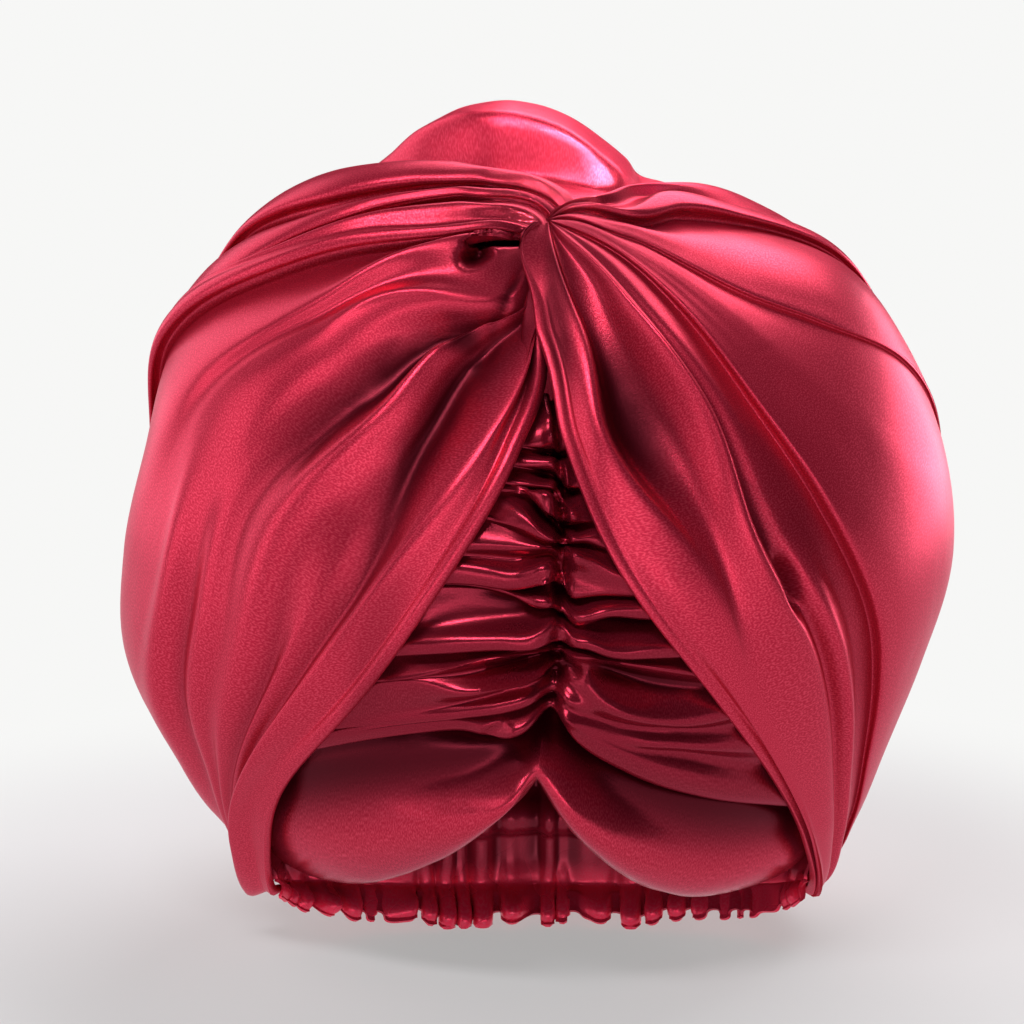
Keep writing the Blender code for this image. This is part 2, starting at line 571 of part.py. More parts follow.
def make_crown():
    edge, on_hem, turns = crown_edge_points()
    edge_direction = unit(edge)
    pole = direction(*CROWN_POLE)
    opening = np.arccos(np.clip(edge_direction @ pole, -1.0, 1.0))
    sideways = unit(edge_direction - (edge_direction @ pole)[:, None] * pole)
    rim = np.array([TUCK_WIDTH + TUCK_RISE, TUCK_WIDTH, 0.0])[:, None]
    to_rim = opening * CHART_RADIUS - rim[0]
    inner_rings = np.linspace(1.0, 0.0, CROWN_RINGS - 2, endpoint=False)[:, None] * to_rim + rim[0]
    to_edge = np.concatenate([inner_rings, np.broadcast_to(rim, (3, len(opening)))])
    angle = opening - to_edge / CHART_RADIUS
    towards = np.cos(angle)[..., None] * pole + np.sin(angle)[..., None] * sideways
    nearest = np.max(towards @ edge_direction[on_hem < 0.5].T, axis=-1)
    to_seam = np.arccos(np.clip(nearest, -1.0, 1.0)) * CHART_RADIUS
    risen = smooth_step((to_seam - TUCK_WIDTH) / TUCK_RISE)
    radius = body_radius(towards) + lobe_height(towards) * risen - CROWN_TUCK * (1.0 - risen)
    lifted = (np.linalg.norm(edge, axis=-1) - radius[-1]) * on_hem
    radius = radius + lifted * (1.0 - smooth_step(to_edge / HEM_LIFT_REACH))
    fade = 1.0 - smooth_step(to_edge / GATHER_REACH)
    gathers = np.cos(turns * np.pi * GATHER_COUNT) * GATHER_HEIGHT * fade * on_hem * (1.0 - np.abs(turns) ** 4)
    outer = place(towards, radius + gathers * smooth_step(to_edge / TUCK_WIDTH))
    points, faces = closed_sheet(outer, under(outer, CROWN_WALL), ring=True)
    add_piece("crown", points, faces, CRIMSON)


def make_nape_hem():
    """A band of elastic casing along the hem, its lower half thrown into a ruffle of even folds."""
    fine_turn = np.linspace(-1.0, 1.0, 20 * RUFFLE_COUNT)
    steps = np.linalg.norm(np.diff(hem_line(fine_turn, 1.0), axis=0), axis=1)
    run = np.concatenate([[0.0], np.cumsum(steps)]) / steps.sum()
    share = np.linspace(0.0, 1.0, RUFFLE_COUNT * RUFFLE_STEPS + 1)
    turn = np.interp(share, run, fine_turn)
    angle = turn * np.pi / 2
    inward = unit(np.stack([-np.sin(angle) * HEM_SAG / HEM_HALF_WIDTH, -np.cos(angle), 0.0 * turn], -1))
    wave = np.sin(share * 2.0 * np.pi * RUFFLE_COUNT) * RUFFLE_DEPTH * (1.0 - 0.5 * np.abs(turn) ** 4)
    rows = []
    for drop in RUFFLE_ROWS:
        depth = wave * (RUFFLE_STITCHED_SHARE + (1.0 - RUFFLE_STITCHED_SHARE) * drop)
        rows.append(hem_line(turn, drop) + inward * depth[:, None])
    front = np.array(rows)
    add_piece("nape_hem", *closed_sheet(front, front - inward * HEM_WALL), DEEP_CRIMSON)


def main():
    for thing in list(bpy.data.objects):
        bpy.data.objects.remove(thing, do_unlink=True)
    make_crown()
    make_drape("drape_left", "left", LEFT_BEARINGS, LEFT_STARTS, LEFT_HEIGHTS, LEFT_SEAM)
    make_drape("drape_right", "right", RIGHT_BEARINGS, RIGHT_STARTS, RIGHT_HEIGHTS, RIGHT_SEAM)
    make_ruched_panel()
    make_nape_hem()


if __name__ == "__main__":
    main()
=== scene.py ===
"""Looks of a satin sleep bonnet with a twisted front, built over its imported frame.

Every sheet of satin is worked out from the body centre: a direction, the radius of the puffed body
in that direction, and the height of the folds above it. Lengths in the tables are millimetres and
angles are degrees. The finished meshes are in metres, +Z is up and the face side looks towards -Y.
"""

import bmesh
import bpy
import numpy as np
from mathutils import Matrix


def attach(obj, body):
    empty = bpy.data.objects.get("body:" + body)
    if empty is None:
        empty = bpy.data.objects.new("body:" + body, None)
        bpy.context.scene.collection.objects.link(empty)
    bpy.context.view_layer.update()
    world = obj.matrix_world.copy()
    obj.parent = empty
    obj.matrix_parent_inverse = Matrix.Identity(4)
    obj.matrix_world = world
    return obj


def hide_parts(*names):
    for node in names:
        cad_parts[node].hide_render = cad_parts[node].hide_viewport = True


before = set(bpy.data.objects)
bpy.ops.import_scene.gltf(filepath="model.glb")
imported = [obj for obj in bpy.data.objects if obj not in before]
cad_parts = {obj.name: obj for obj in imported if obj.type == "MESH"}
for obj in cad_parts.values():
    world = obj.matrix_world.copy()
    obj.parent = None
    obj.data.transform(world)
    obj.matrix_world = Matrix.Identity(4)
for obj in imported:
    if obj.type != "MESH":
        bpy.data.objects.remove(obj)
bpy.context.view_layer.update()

bl_info = {
    "name": "Satin sleep bonnet",
    "version": (1, 0, 0),
    "blender": (4, 5, 0),
    "location": "View3D > Sidebar > Bonnet",
    "description": "Builds the satin sheets, finishes and stage of a puffed sleep bonnet",
    "category": "Object",
}

MM = 0.001

# ---- sizes shared by every sheet -----------------------------------------------------------
BODY_CENTRE = (0.9, -10.5, 118.0)
CHART_RADIUS = 120.0  # turns a distance along the cloth into an angle at the body centre
KNOT_ELEVATION = 62.0
KNOT_AZIMUTH = 1.8
CROWN_TUCK = 3.5  # how far the crown lies under the drapes sewn over it
TUCK_WIDTH = 14.0
TUCK_RISE = 9.0

# Radius of the puffed body by elevation: to the left, to the right, to the front, to the back.
BODY_TABLE = (
    # elevation left   right  front  back
    (-90.0, 121.0, 121.0, 121.0, 121.0),
    (-75.0, 121.0, 121.0, 114.0, 126.5),
    (-60.0, 127.5, 127.0, 112.0, 138.0),
    (-50.0, 131.5, 131.5, 110.0, 134.0),
    (-40.0, 125.5, 123.5, 108.0, 127.0),
    (-30.0, 123.0, 118.0, 105.0, 124.5),
    (-15.0, 126.5, 117.0, 103.0, 124.0),
    (0.0, 121.5, 121.0, 102.0, 124.0),
    (15.0, 119.5, 122.0, 101.0, 123.5),
    (30.0, 125.0, 121.5, 101.5, 122.5),
    (45.0, 125.0, 122.5, 105.0, 121.0),
    (60.0, 123.5, 117.5, 112.0, 120.0),
    (75.0, 121.0, 117.0, 117.0, 119.5),
    (90.0, 119.5, 119.5, 119.5, 119.5),
)

# ---- the two drapes ------------------------------------------------------------------------
# A fold line runs from the knot to the seam. Its bearing about the knot is given at these shares
# of its length, 0 up, 90 right, 180 down the front and 270 left, and its height at the same ones.
# LEFT_STARTS and RIGHT_STARTS hold how near the knot each line begins.
LINE_SHARES = (0.0, 0.06, 0.14, 0.27, 0.42, 0.60, 0.80, 1.0)

LEFT_LINES = {
    # bearings, heights
    "front_edge": ((196, 187, 182, 188.5, 198, 209, 223, 229.5), (-2.6, -2.6, -1.5, 1.8, 2.2, 2.4, 2.4, 3.0)),
    "front_crest": ((199, 188.5, 188.5, 198, 208.3, 218.2, 229.5, 236), (-2.6, -2.6, 0.4, 3.0, 3.6, 4.0, 5.4, 5.6)),
    "front_valley": ((202, 190, 207, 213.5, 213.5, 220.5, 231, 238), (-2.6, -2.8, -2.4, -2.4, -0.8, 0.2, 0.4, 1.0)),
    "cheek_swell": ((204, 191.5, 210, 216.5, 219, 223.5, 232.3, 239.5), (-2.6, -2.8, -1.4, -0.8, 0.4, 1.4, 1.2, 1.5)),
    "cheek_hollow": ((206, 192.8, 212.5, 219.5, 226, 225.5, 233.5, 241), (-2.6, -2.6, 1.0, 2.0, 1.2, 0.0, 0.6, 1.0)),
    "cheek_ridge": ((208, 194.2, 216, 224, 231.5, 229.8, 234.8, 242.3), (-2.6, -2.4, 2.6, 3.8, 3.0, 2.2, 1.8, 1.5)),
    "cheek_valley": ((210, 196, 223, 232, 239, 234.5, 236, 243.6), (-2.6, -3.0, -2.4, -1.6, 0.4, 1.2, 1.0, 1.0)),
    "side_swell": ((212, 198.5, 229.5, 240, 243.5, 238.5, 237.5, 245), (-2.6, -2.0, -0.4, 0.2, 1.6, 2.4, 2.0, 1.5)),
    "side_crease": ((215, 201.5, 234, 245, 247, 242, 240.5, 247.5), (-2.6, -1.0, 2.6, 3.2, 2.6, 0.4, 0.6, 0.8)),
    "side_ridge": ((218, 205.5, 238, 249, 252, 246, 245, 252), (-2.6, 0.0, 4.4, 4.6, 3.6, 3.6, 3.4, 2.2)),
    "brow_swell": ((222, 212, 240, 252, 256, 251, 252, 259), (-2.6, 0.0, 5.0, 4.6, 3.8, 2.6, 2.6, 1.5)),
    "brow_dip": ((236, 232, 248, 254.5, 259, 258, 258, 264), (-2.6, 1.5, 3.6, 4.0, 3.6, 2.6, 2.2, 1.5)),
    "brow_ridge": ((252, 254, 256, 257, 262, 267, 268, 270), (-2.6, 4.0, 6.6, 5.6, 4.4, 3.2, 2.6, 1.5)),
    "bundle_crease": ((262, 262, 264, 270, 273.5, 279, 283.5, 284), (-2.6, 0.0, 0.0, 0.4, 0.8, 0.8, 1.0, 1.0)),
    "bundle_edge": ((276, 270, 268.5, 272.5, 275, 280.5, 285, 285.5), (-1.5, 3.5, 4.6, 5.0, 5.4, 5.6, 4.0, 2.0)),
    "curl_crease": ((300, 284, 274.5, 275, 276.5, 281.5, 285.8, 286.5), (-1.5, 1.0, 2.8, 4.4, 5.0, 5.2, 3.6, 2.0)),
    "lower_pleat": ((346, 297, 284.5, 279.5, 278, 282.5, 286.5, 287.5), (-1.5, 3.6, 5.4, 5.6, 5.4, 5.0, 3.6, 2.0)),
    "lower_crease": ((376, 312, 295, 285, 281.2, 280.5, 286.8, 289), (-2.6, 1.6, 1.4, 1.0, 1.0, 1.0, 1.0, 1.0)),
    "middle_pleat": ((386, 321, 301.5, 290.5, 286.5, 287.5, 291, 294), (-1.5, 4.0, 5.0, 5.0, 5.0, 4.6, 3.0, 2.0)),
    "middle_crease": ((394, 332, 310, 297, 291.5, 292.5, 296.5, 299), (-2.6, 1.6, 1.4, 1.0, 1.0, 1.0, 1.0, 1.0)),
    "upper_pleat": ((401, 352, 326, 312, 304, 302, 305, 307), (-1.5, 4.0, 5.6, 6.0, 6.0, 5.6, 4.0, 2.0)),
    "upper_edge": ((408, 384, 347, 330, 321, 316.5, 316, 317), (-2.6, 0.6, 1.0, 1.0, 1.0, 1.0, 1.0, 1.0)),
}
LEFT_STARTS = {
    "front_edge": 6.0,
    "brow_ridge": 5.5,
    "bundle_crease": 4.0,
    "bundle_edge": 2.5,
    "curl_crease": 1.0,
    "lower_pleat": 2.0,
    "lower_crease": 6.0,
    "middle_pleat": 8.0,
    "upper_edge": 12.0,
}
RIGHT_LINES = {
    "front_edge": ((258, 204, 186, 177.5, 169, 155.5, 142, 130.5), (2.5, 2.8, 3.2, 3.0, 2.8, 2.5, 2.2, 3.0)),
    "strip_hollow": ((215, 188, 177.5, 173, 163.5, 153, 141.2, 130), (2.6, 3.2, 3.8, 3.9, 3.6, 4.0, 3.6, 3.6)),
    "strip_ridge": ((181, 173.5, 167.5, 167.8, 156.5, 151.5, 140.7, 129.6), (3.0, 4.2, 5.4, 5.8, 3.8, 4.6, 4.0, 3.4)),
    "strip_valley": ((172, 167, 162, 162.3, 153.5, 150, 140.2, 129.2), (2.4, 1.6, -0.6, -1.8, 2.6, 4.6, 4.0, 3.2)),
    "temple_valley": ((160, 151, 151, 149.8, 150, 148.5, 139.6, 128.6), (2.2, 1.4, 0.0, -1.2, 1.8, 4.6, 4.0, 3.0)),
    "temple_ridge": ((150, 143, 143, 141.8, 144.6, 139, 135, 127.8), (3.2, 4.6, 6.2, 6.6, 6.0, 4.6, 4.0, 2.6)),
    "temple_hollow": ((138, 138, 139, 138.2, 140.4, 136, 133, 126.6), (2.8, 3.8, 4.0, 2.8, -0.2, 1.0, 1.6, 1.5)),
    "drop_ridge": ((130, 131, 134.5, 135, 136.4, 134, 131.4, 125.4), (2.8, 3.8, 4.0, 3.2, 0.6, 4.4, 4.0, 2.4)),
    "drop_valley": ((124, 125.5, 129, 131.5, 131.8, 130, 128.6, 122), (2.6, 3.4, 3.2, 2.2, 0.4, 1.2, 1.6, 1.5)),
    "broad_valley": ((116, 118.5, 123.8, 128.4, 128.2, 125.6, 124.4, 118), (2.2, 2.6, 2.4, 1.6, 0.4, 0.6, 1.2, 1.0)),
    "broad_ridge": ((106, 115, 121, 125.6, 125.5, 122, 120, 114), (3.2, 4.2, 4.5, 4.4, 4.0, 3.6, 2.8, 2.0)),
    "broad_middle": ((88, 106, 112, 115, 113, 106, 102, 98), (3.0, 4.0, 4.2, 4.0, 3.4, 2.8, 2.4, 2.0)),
    "side_valley": ((68, 96.5, 103.6, 107, 100.4, 89.4, 83, 81), (2.2, 2.8, 3.2, 3.0, 2.7, 2.4, 1.8, 1.4)),
    "side_ridge": ((62, 93.5, 101, 104.6, 97.8, 86.5, 80.5, 78.5), (3.2, 4.0, 4.3, 4.1, 3.8, 3.4, 2.6, 2.0)),
    "side_middle": ((52, 82, 91, 92, 86, 78, 74.5, 73.5), (3.0, 3.6, 4.0, 3.8, 3.6, 3.0, 2.4, 1.8)),
    "twist_valley": ((42, 60, 81, 73.4, 71.5, 70.5, 70, 69), (2.2, 2.0, 0.6, 0.2, 0.8, 1.0, 1.2, 1.0)),
    "twist_ridge": ((34, 50, 76, 64, 65.5, 65.5, 65.5, 65), (3.0, 4.0, 5.0, 5.2, 4.2, 3.4, 2.6, 2.0)),
    "twist_groove": ((28, 43, 64, 58.5, 61, 61, 61, 60.5), (2.4, 2.8, 3.0, 2.0, 1.6, 1.4, 1.2, 1.0)),
    "upper_pleat": ((20, 36, 54, 53.5, 55, 54, 53, 53), (3.0, 3.8, 4.6, 4.4, 4.0, 3.4, 2.6, 1.8)),
    "upper_edge": ((8, 26, 46, 49, 50, 47, 45, 45), (2.0, 1.6, 1.2, 1.0, 1.0, 1.0, 1.0, 1.0)),
}
RIGHT_STARTS = {"front_edge": 3.0, "strip_ridge": 1.0, "upper_edge": 0.8}
# Where the lines end: the side seam and the lower edge down to the ear corner.
LEFT_SEAM = (
    # bearing, distance from the knot
    (229.0, 268.0), (240.0, 279.0), (250.0, 290.0), (259.0, 274.0), (266.0, 257.0),
    (277.0, 221.0), (287.0, 183.0), (296.0, 146.0), (308.0, 111.0), (317.0, 94.0),
)
RIGHT_SEAM = (
    (45.0, 92.0), (54.0, 108.0), (67.0, 143.0), (76.0, 180.0), (86.0, 217.0),
    (97.0, 253.0), (104.0, 270.0), (112.0, 287.0), (121.0, 277.0), (130.5, 269.0),
)

# Hollows pressed into the drapes: place from the knot, size across and along, depth, and the shade
# painted in them. Those of depth 0 press nothing in and only paint shade.
HOLLOWS = (
    # side    bearing reach across along depth shoulder, share that runs level backwards, painted shade
    ("left", 250.0, 15.5, 1.8, 9.0, 20.0, 0.6, 0.85, 1.0),
    ("left", 242.0, 24.5, 2.2, 4.0, 10.0, 1.2, 0.85, 1.0),
    ("left", 209.0, 27.0, 1.4, 11.0, 0.8, 1.4, 0.5, 0.9),
    ("left", 219.0, 46.0, 7.5, 6.0, 1.5, 1.2, 0.0, 0.95),
    ("left", 229.5, 63.0, 5.0, 14.0, 1.5, 1.3, 0.0, 0.95),
    ("left", 234.5, 92.0, 4.0, 20.0, 0.5, 1.4, 0.0, 0.7),
    ("left", 207.0, 46.0, 2.5, 9.0, 0.5, 1.3, 0.0, 0.9),
    ("left", 213.0, 78.0, 4.5, 24.0, 0.8, 1.3, 0.0, 0.85),
    ("left", 214.0, 118.0, 5.5, 26.0, 0.4, 1.5, 0.0, 0.6),
    ("right", 139.5, 137.0, 5.0, 8.0, 4.0, 0.9, 0.0, 0.5),
    ("right", 177.0, 32.0, 4.5, 28.0, 0.0, 1.2, 0.0, 0.8),
    ("left", 209.0, 150.0, 8.0, 50.0, 0.0, 1.4, 0.0, 0.3),
)
# The drapes are this much darker at the knot, up to this reach, and over the next it dies away.
KNOT_SHADE = (0.50, 12.0, 50.0)

# ---- the ruched front panel ----------------------------------------------------------------
PANEL_TABLE = (
    # share, seam az, el, left middle az, el, left end az, el, right middle az, el, right end az, el,
    # how far the ends lie inside the body
    (0.00, 2.0, 37.0, -2.0, 37.0, -5.5, 37.0, 4.0, 37.0, 6.0, 37.0, 2.4),
    (0.15, 3.0, 26.0, -3.0, 26.5, -8.5, 27.0, 6.0, 26.0, 9.5, 26.0, 2.1),
    (0.32, 3.5, 14.5, -6.0, 15.0, -15.0, 16.0, 8.0, 14.0, 13.5, 14.0, 2.1),
    (0.48, 3.0, 4.0, -8.0, 4.5, -20.5, 4.0, 11.0, 3.0, 19.5, 2.0, 2.1),
    (0.62, 3.0, -4.0, -11.0, -4.0, -26.0, -5.0, 14.0, -5.0, 26.0, -7.0, 2.1),
    (0.75, 2.0, -12.0, -19.0, -17.0, -42.0, -21.0, 16.0, -17.0, 38.0, -19.0, 2.1),
    (0.88, 1.0, -19.0, -25.0, -26.5, -62.0, -34.0, 22.0, -28.0, 60.0, -37.0, 4.6),
    (1.00, -1.0, -27.0, -33.0, -49.0, -79.0, -50.0, 33.0, -53.0, 79.0, -50.0, 9.5),
)

# ---- the crown -----------------------------------------------------------------------------
CROWN_POLE = (180.0, 35.0)  # azimuth, elevation
# The crown's front and side edge, from the left ear corner over the top to the right one.
CROWN_EDGE = (
    # azimuth, elevation
    (-80.0, -48.0), (-91.0, -42.0), (-95.0, -30.0), (-95.5, -10.0), (-95.5, 15.0),
    (-95.5, 38.0), (-88.0, 58.0), (-62.0, 66.5), (-25.0, 69.5), (0.0, 70.0),
    (18.0, 67.5), (36.0, 63.5), (62.0, 63.5), (86.0, 59.0), (95.5, 42.0),
    (96.5, 15.0), (96.0, -10.0), (95.5, -30.0), (91.0, -42.0), (80.0, -48.0),
)
LOBE_HEIGHT = 12.6
LOBE_TABLE = (
    # right of the middle, height share
    (-58.0, 0.0), (-45.0, 0.15), (-33.0, 0.6), (-22.0, 0.93), (-12.0, 1.0),
    (-2.0, 0.93), (8.0, 0.72), (17.0, 0.42), (23.0, 0.22), (27.0, 0.05),
    (30.0, -0.2), (38.0, -0.22), (48.0, 0.0),
)
LOBE_BACK = 55.0  # how far back of the middle the puff has died away
LOBE_FOOT = 66.0  # it starts this high above the body centre and is full LOBE_RISE above that
LOBE_RISE = 47.0
GATHERS = (
    # waves along half the hem, share of the drift they follow, height, reach from the hem
    (11.0, 1.0, 2.2, 45.0),
    (28.6, 2.0, 0.9, 24.0),
)
GATHER_DRIFT = (7.7, 0.8, 71)  # noise that makes them uneven: its pace along the hem's half, size and seed
POLE_CALM = 0.2  # the wrinkles reach their full height this angle from the pole

# ---- the nape hem --------------------------------------------------------------------------
HEM_HALF_WIDTH = 79.0
HEM_SAG = 40.0  # how far the corners stand in front of the middle of the hem
HEM_BACK = 10.0  # how far the middle of the stitch line lies behind the body centre
HEM_HEIGHT = 10.0
HEM_CORNER_RISE = 13.0
HEM_LIFT_REACH = 26.0  # over this distance the crown runs from the hem onto the puffed body
HEM_CROWN_GAP = 0.10  # the crown ends this share of the ruffle's depth short of the stitch line
HEM_CROWN_SHARE = 0.985  # and spans this share of its length
RUFFLE_FLAT_SHARE = 0.2  # share of the ruffle, about its middle, that stands on the floor
RUFFLE_CORNER_RISE = 17.0
RUFFLE_RISE_POWER = 1.3
RUFFLE_TAPER = 1.5  # how much narrower the ruffle's foot is than the stitch line, at each end
RUFFLE_FLARE = 11.0  # how far its foot stands in front, and by how much less at the corners
RUFFLE_CORNER_FLARE_LOSS = 7.0
RUFFLE_COUNT = 24
RUFFLE_DEPTH = 1.9
RUFFLE_CURL = 0.7  # how far each fold of the ruffle bulges over the gap beside it
RUFFLE_FOOT = 0.5  # the curl and the scallops are full this share down the ruffle
RUFFLE_GROWTH = 1.3  # the folds reach their full depth this many times faster than the ruffle its foot
RUFFLE_END_LOSS = 0.5  # and lose this share of it at the ears
RUFFLE_PUFF = 3.2  # how far each fold bulges between the stitches and its foot
RUFFLE_PUFF_SHARES = (0.6, 0.4, 1.15)  # share of it all along, share on the folds, pace down the ruffle
RUFFLE_SCALLOP = 2.8  # how much shorter the ruffle is in its gaps
BAND_HEIGHT = 34.0  # the gathered band that stands up inside the mouth, at its middle
BAND_GATHERS = 1.3
BAND_LEAN = 3.0
BAND_START = 0.25  # share of its height over which its gathers begin
BAND_END_LOSS = 0.8  # share of its height that it lacks at the ears
# A fold of the band leans forward: place up the band, half height, half width and depth.
BAND_FOLD = (0.64, 0.14, 0.45, 8.0)
RUFFLE_STITCHED_SHARE = 0.35  # share of the folds' depth left at the stitch line
RUFFLE_NOISE = (
    # pace, size and seed of the noise in the folds' place, depth and length
    (0.8, 0.85, 61),
    (0.5, 1.19, 62),
    (0.8, 0.80, 63),
)
STITCH_GROOVE = (0.7, 0.10, 0.05)  # its depth, place down the ruffle and half width
RUFFLE_SHADE = (0.5, 0.7, 0.05)  # how dark the gaps are, and the stitch line, and how far down it reaches

# ---- cross-sections ------------------------------------------------------------------------
# The fold lines of a drape follow each other as they stand in its table. The first one carries a
# rolled edge of this width, which rises by this share of ROLLED_SECTION. At these lines a pleat lays
# another line's fold over them, with a lip and a tuck this deep.
LEFT_ROLL = (5.0, 1.0)
LEFT_PLEATS = {
    "bundle_crease": ("bundle_edge", 0.8, 3.0),
    "lower_crease": ("middle_pleat", 0.8, 3.0),
    "middle_crease": ("upper_pleat", 0.8, 3.0),
}
RIGHT_ROLL = (3.0, 0.15)
RIGHT_PLEATS = {
    "broad_valley": ("broad_ridge", 0.3, 0.6),
    "side_valley": ("side_ridge", 0.2, 0.3),
    "twist_valley": ("twist_ridge", 0.6, 1.2),
}
PLEAT_SECTION = (
    # share of the rise, sideways in lips, sideways in tucks
    (0.00, 0.0, 0.0),
    (0.00, 1.0, 0.6),
    (0.22, 1.0, 1.0),
    (0.45, 1.0, 0.6),
    (0.60, 1.0, 0.0),
    (0.78, 0.6, 0.0),
    (0.93, 1.6, 0.0),
)
ROLLED_SECTION = (
    # sideways in widths, rise in millimetres
    (0.40, -3.0),
    (0.06, -2.6),
    (-0.06, -1.5),
    (0.04, -0.3),
    (0.28, 0.7),
    (0.60, 0.8),
    (0.90, 0.1),
    (1.12, -0.6),
    (1.45, -0.3),
)
ROLL_FOOT = -1.0  # cloth of the roll lower than this is its hidden foot
# Along the edge, from this share and over the next, the roll's crest and the groove beside it die away.
ROLL_FADE = (0.62, 0.20)
TURN_IN = 4.0  # how far the cloth turns in at its sewn end
TURN_IN_SHARE = 0.022
KNOT_CALM = 40.0  # tucks and rolls reach their full size this far from the knot
DRAPE_SHADE = (2.0, 6.5)  # cloth lower than this begins to darken, and is darkest this much lower
PANEL_SHADE = (2.8, 6.5, 0.58)  # the same for the panel, and the least that it is darkened above its swags
FOLD_RELIEF = 1.4  # the folds away from the knot are this much deeper than the tables say
FOLD_MIDDLE = 2.4  # about this height
SEAM_CALM = 0.35  # and keep this share of it at the seam
SEAM_CALM_FROM = 0.8
LEAST_STEP = 0.05  # added to the distance between two lines, so that none takes up no columns

# ---- folds of the ruched panel -------------------------------------------------------------
# Each line runs from the gathered middle seam to the side at these shares of the half's width.
PANEL_RECESS = 6.0  # how far the panel's middle lies inside the body
SEAM_DEPTH = 3.0
SEAM_WIDTH = 0.06  # share of a half row
PANEL_STATIONS = (0.0, 0.15, 0.35, 0.62, 1.0)
# The folds are this many times deeper, and beside the seam by this much more, over this share.
PANEL_RELIEF = (1.105, 0.65, 0.35)
PANEL_LENGTH = 140.0  # millimetres of cloth down the panel, which turn a lip into a share
PANEL_LEFT = (
    # thousandths down the seam at each station, height at each station, and a lap's lip and tuck
    ((-20, -20, -20, -20, -20), (-3.0, -3.0, -3.0, -3.0, -3.0)),
    ((100, 103, 110, 115, 120), (1.5, 2.4, 1.5, 0.6, 0.0)),
    ((145, 148, 150, 150, 150), (-2.4, -2.0, -1.5, -1.2, -1.0), 0.5, 0.8),
    ((170, 176, 176, 174, 170), (1.8, 2.6, 1.8, 1.0, 0.0)),
    ((202, 200, 200, 200, 200), (-2.8, -2.6, -2.0, -1.4, -1.0), 0.5, 0.8),
    ((224, 232, 236, 236, 236), (1.6, 2.0, 2.2, 1.2, 0.5)),
    ((246, 246, 247, 248, 248), (-1.2, -0.8, -0.6, -0.4, -0.4), 0.4, 0.6),
    ((290, 264, 256, 256, 256), (3.0, 4.6, 3.0, 1.5, 0.5)),
    ((325, 310, 268, 265, 265), (-3.4, -3.6, -1.0, 0.6, 0.3), 0.6, 1.2),
    ((366, 356, 312, 290, 290), (3.6, 4.4, 4.2, 1.8, 0.6)),
    ((380, 374, 350, 335, 330), (-0.6, 1.0, 1.4, 0.6, 0.4), 0.4, 0.8),
    ((388, 390, 392, 392, 392), (2.4, 3.0, 3.2, 2.8, 1.0)),
    ((396, 404, 420, 418, 416), (0.4, 0.6, 0.6, 0.6, 0.5)),
    ((408, 424, 450, 440, 436), (3.0, 4.6, 4.0, 3.0, 1.2)),
    ((454, 480, 500, 488, 482), (-2.8, -3.0, -2.0, -1.2, -0.6), 0.7, 1.6),
    ((500, 512, 505, 486, 480), (2.2, 2.6, 0.6, 0.0, 0.0)),
    ((528, 546, 520, 496, 488), (-2.4, -2.6, -2.0, -1.6, -0.8), 0.5, 1.0),
    ((545, 574, 582, 586, 592), (0.4, 0.2, -0.4, -0.4, -0.4)),
    ((562, 606, 618, 622, 632), (3.4, 4.8, 4.6, 4.0, 1.6)),
    ((628, 644, 648, 650, 652), (-2.8, -2.6, -2.4, -1.6, -0.8), 0.7, 1.6),
    ((655, 655, 660, 676, 678), (0.8, 1.6, 2.8, 2.8, 1.0)),
    ((676, 684, 688, 682, 684), (-1.8, -2.2, -1.4, 1.8, 0.8)),
    ((702, 710, 716, 692, 690), (3.6, 4.6, 3.8, 2.6, 1.0)),
    ((738, 738, 742, 736, 730), (-0.4, 0.4, 0.8, 0.8, 0.4)),
    ((770, 764, 760, 752, 745), (1.0, 2.6, 2.2, 1.4, 0.6)),
    ((800, 800, 790, 772, 765), (-3.0, -1.4, -0.8, -0.2, 0.0), 0.6, 1.4),
    ((830, 845, 806, 784, 775), (1.6, 3.4, 0.4, 0.2, 0.0)),
    ((885, 882, 850, 822, 806), (-5.5, -6.0, -5.5, -4.5, -2.0), 0.8, 2.0),
    ((925, 908, 886, 868, 852), (-1.6, -1.8, -1.6, -1.4, -1.0)),
    ((950, 934, 916, 902, 886), (1.2, 0.8, 0.4, 0.2, -0.2)),
    ((985, 965, 950, 945, 940), (5.0, 6.4, 6.4, 5.6, 2.8)),
    ((1024, 1002, 990, 984, 978), (3.4, 4.2, 4.4, 4.0, 2.0)),
    ((1058, 1036, 1022, 1018, 1010), (0.4, 0.6, 0.8, 0.8, 0.2)),
    ((1052, 1034, 1018, 1014, 1004), (-2.4, -2.4, -2.4, -2.4, -2.4)),
)
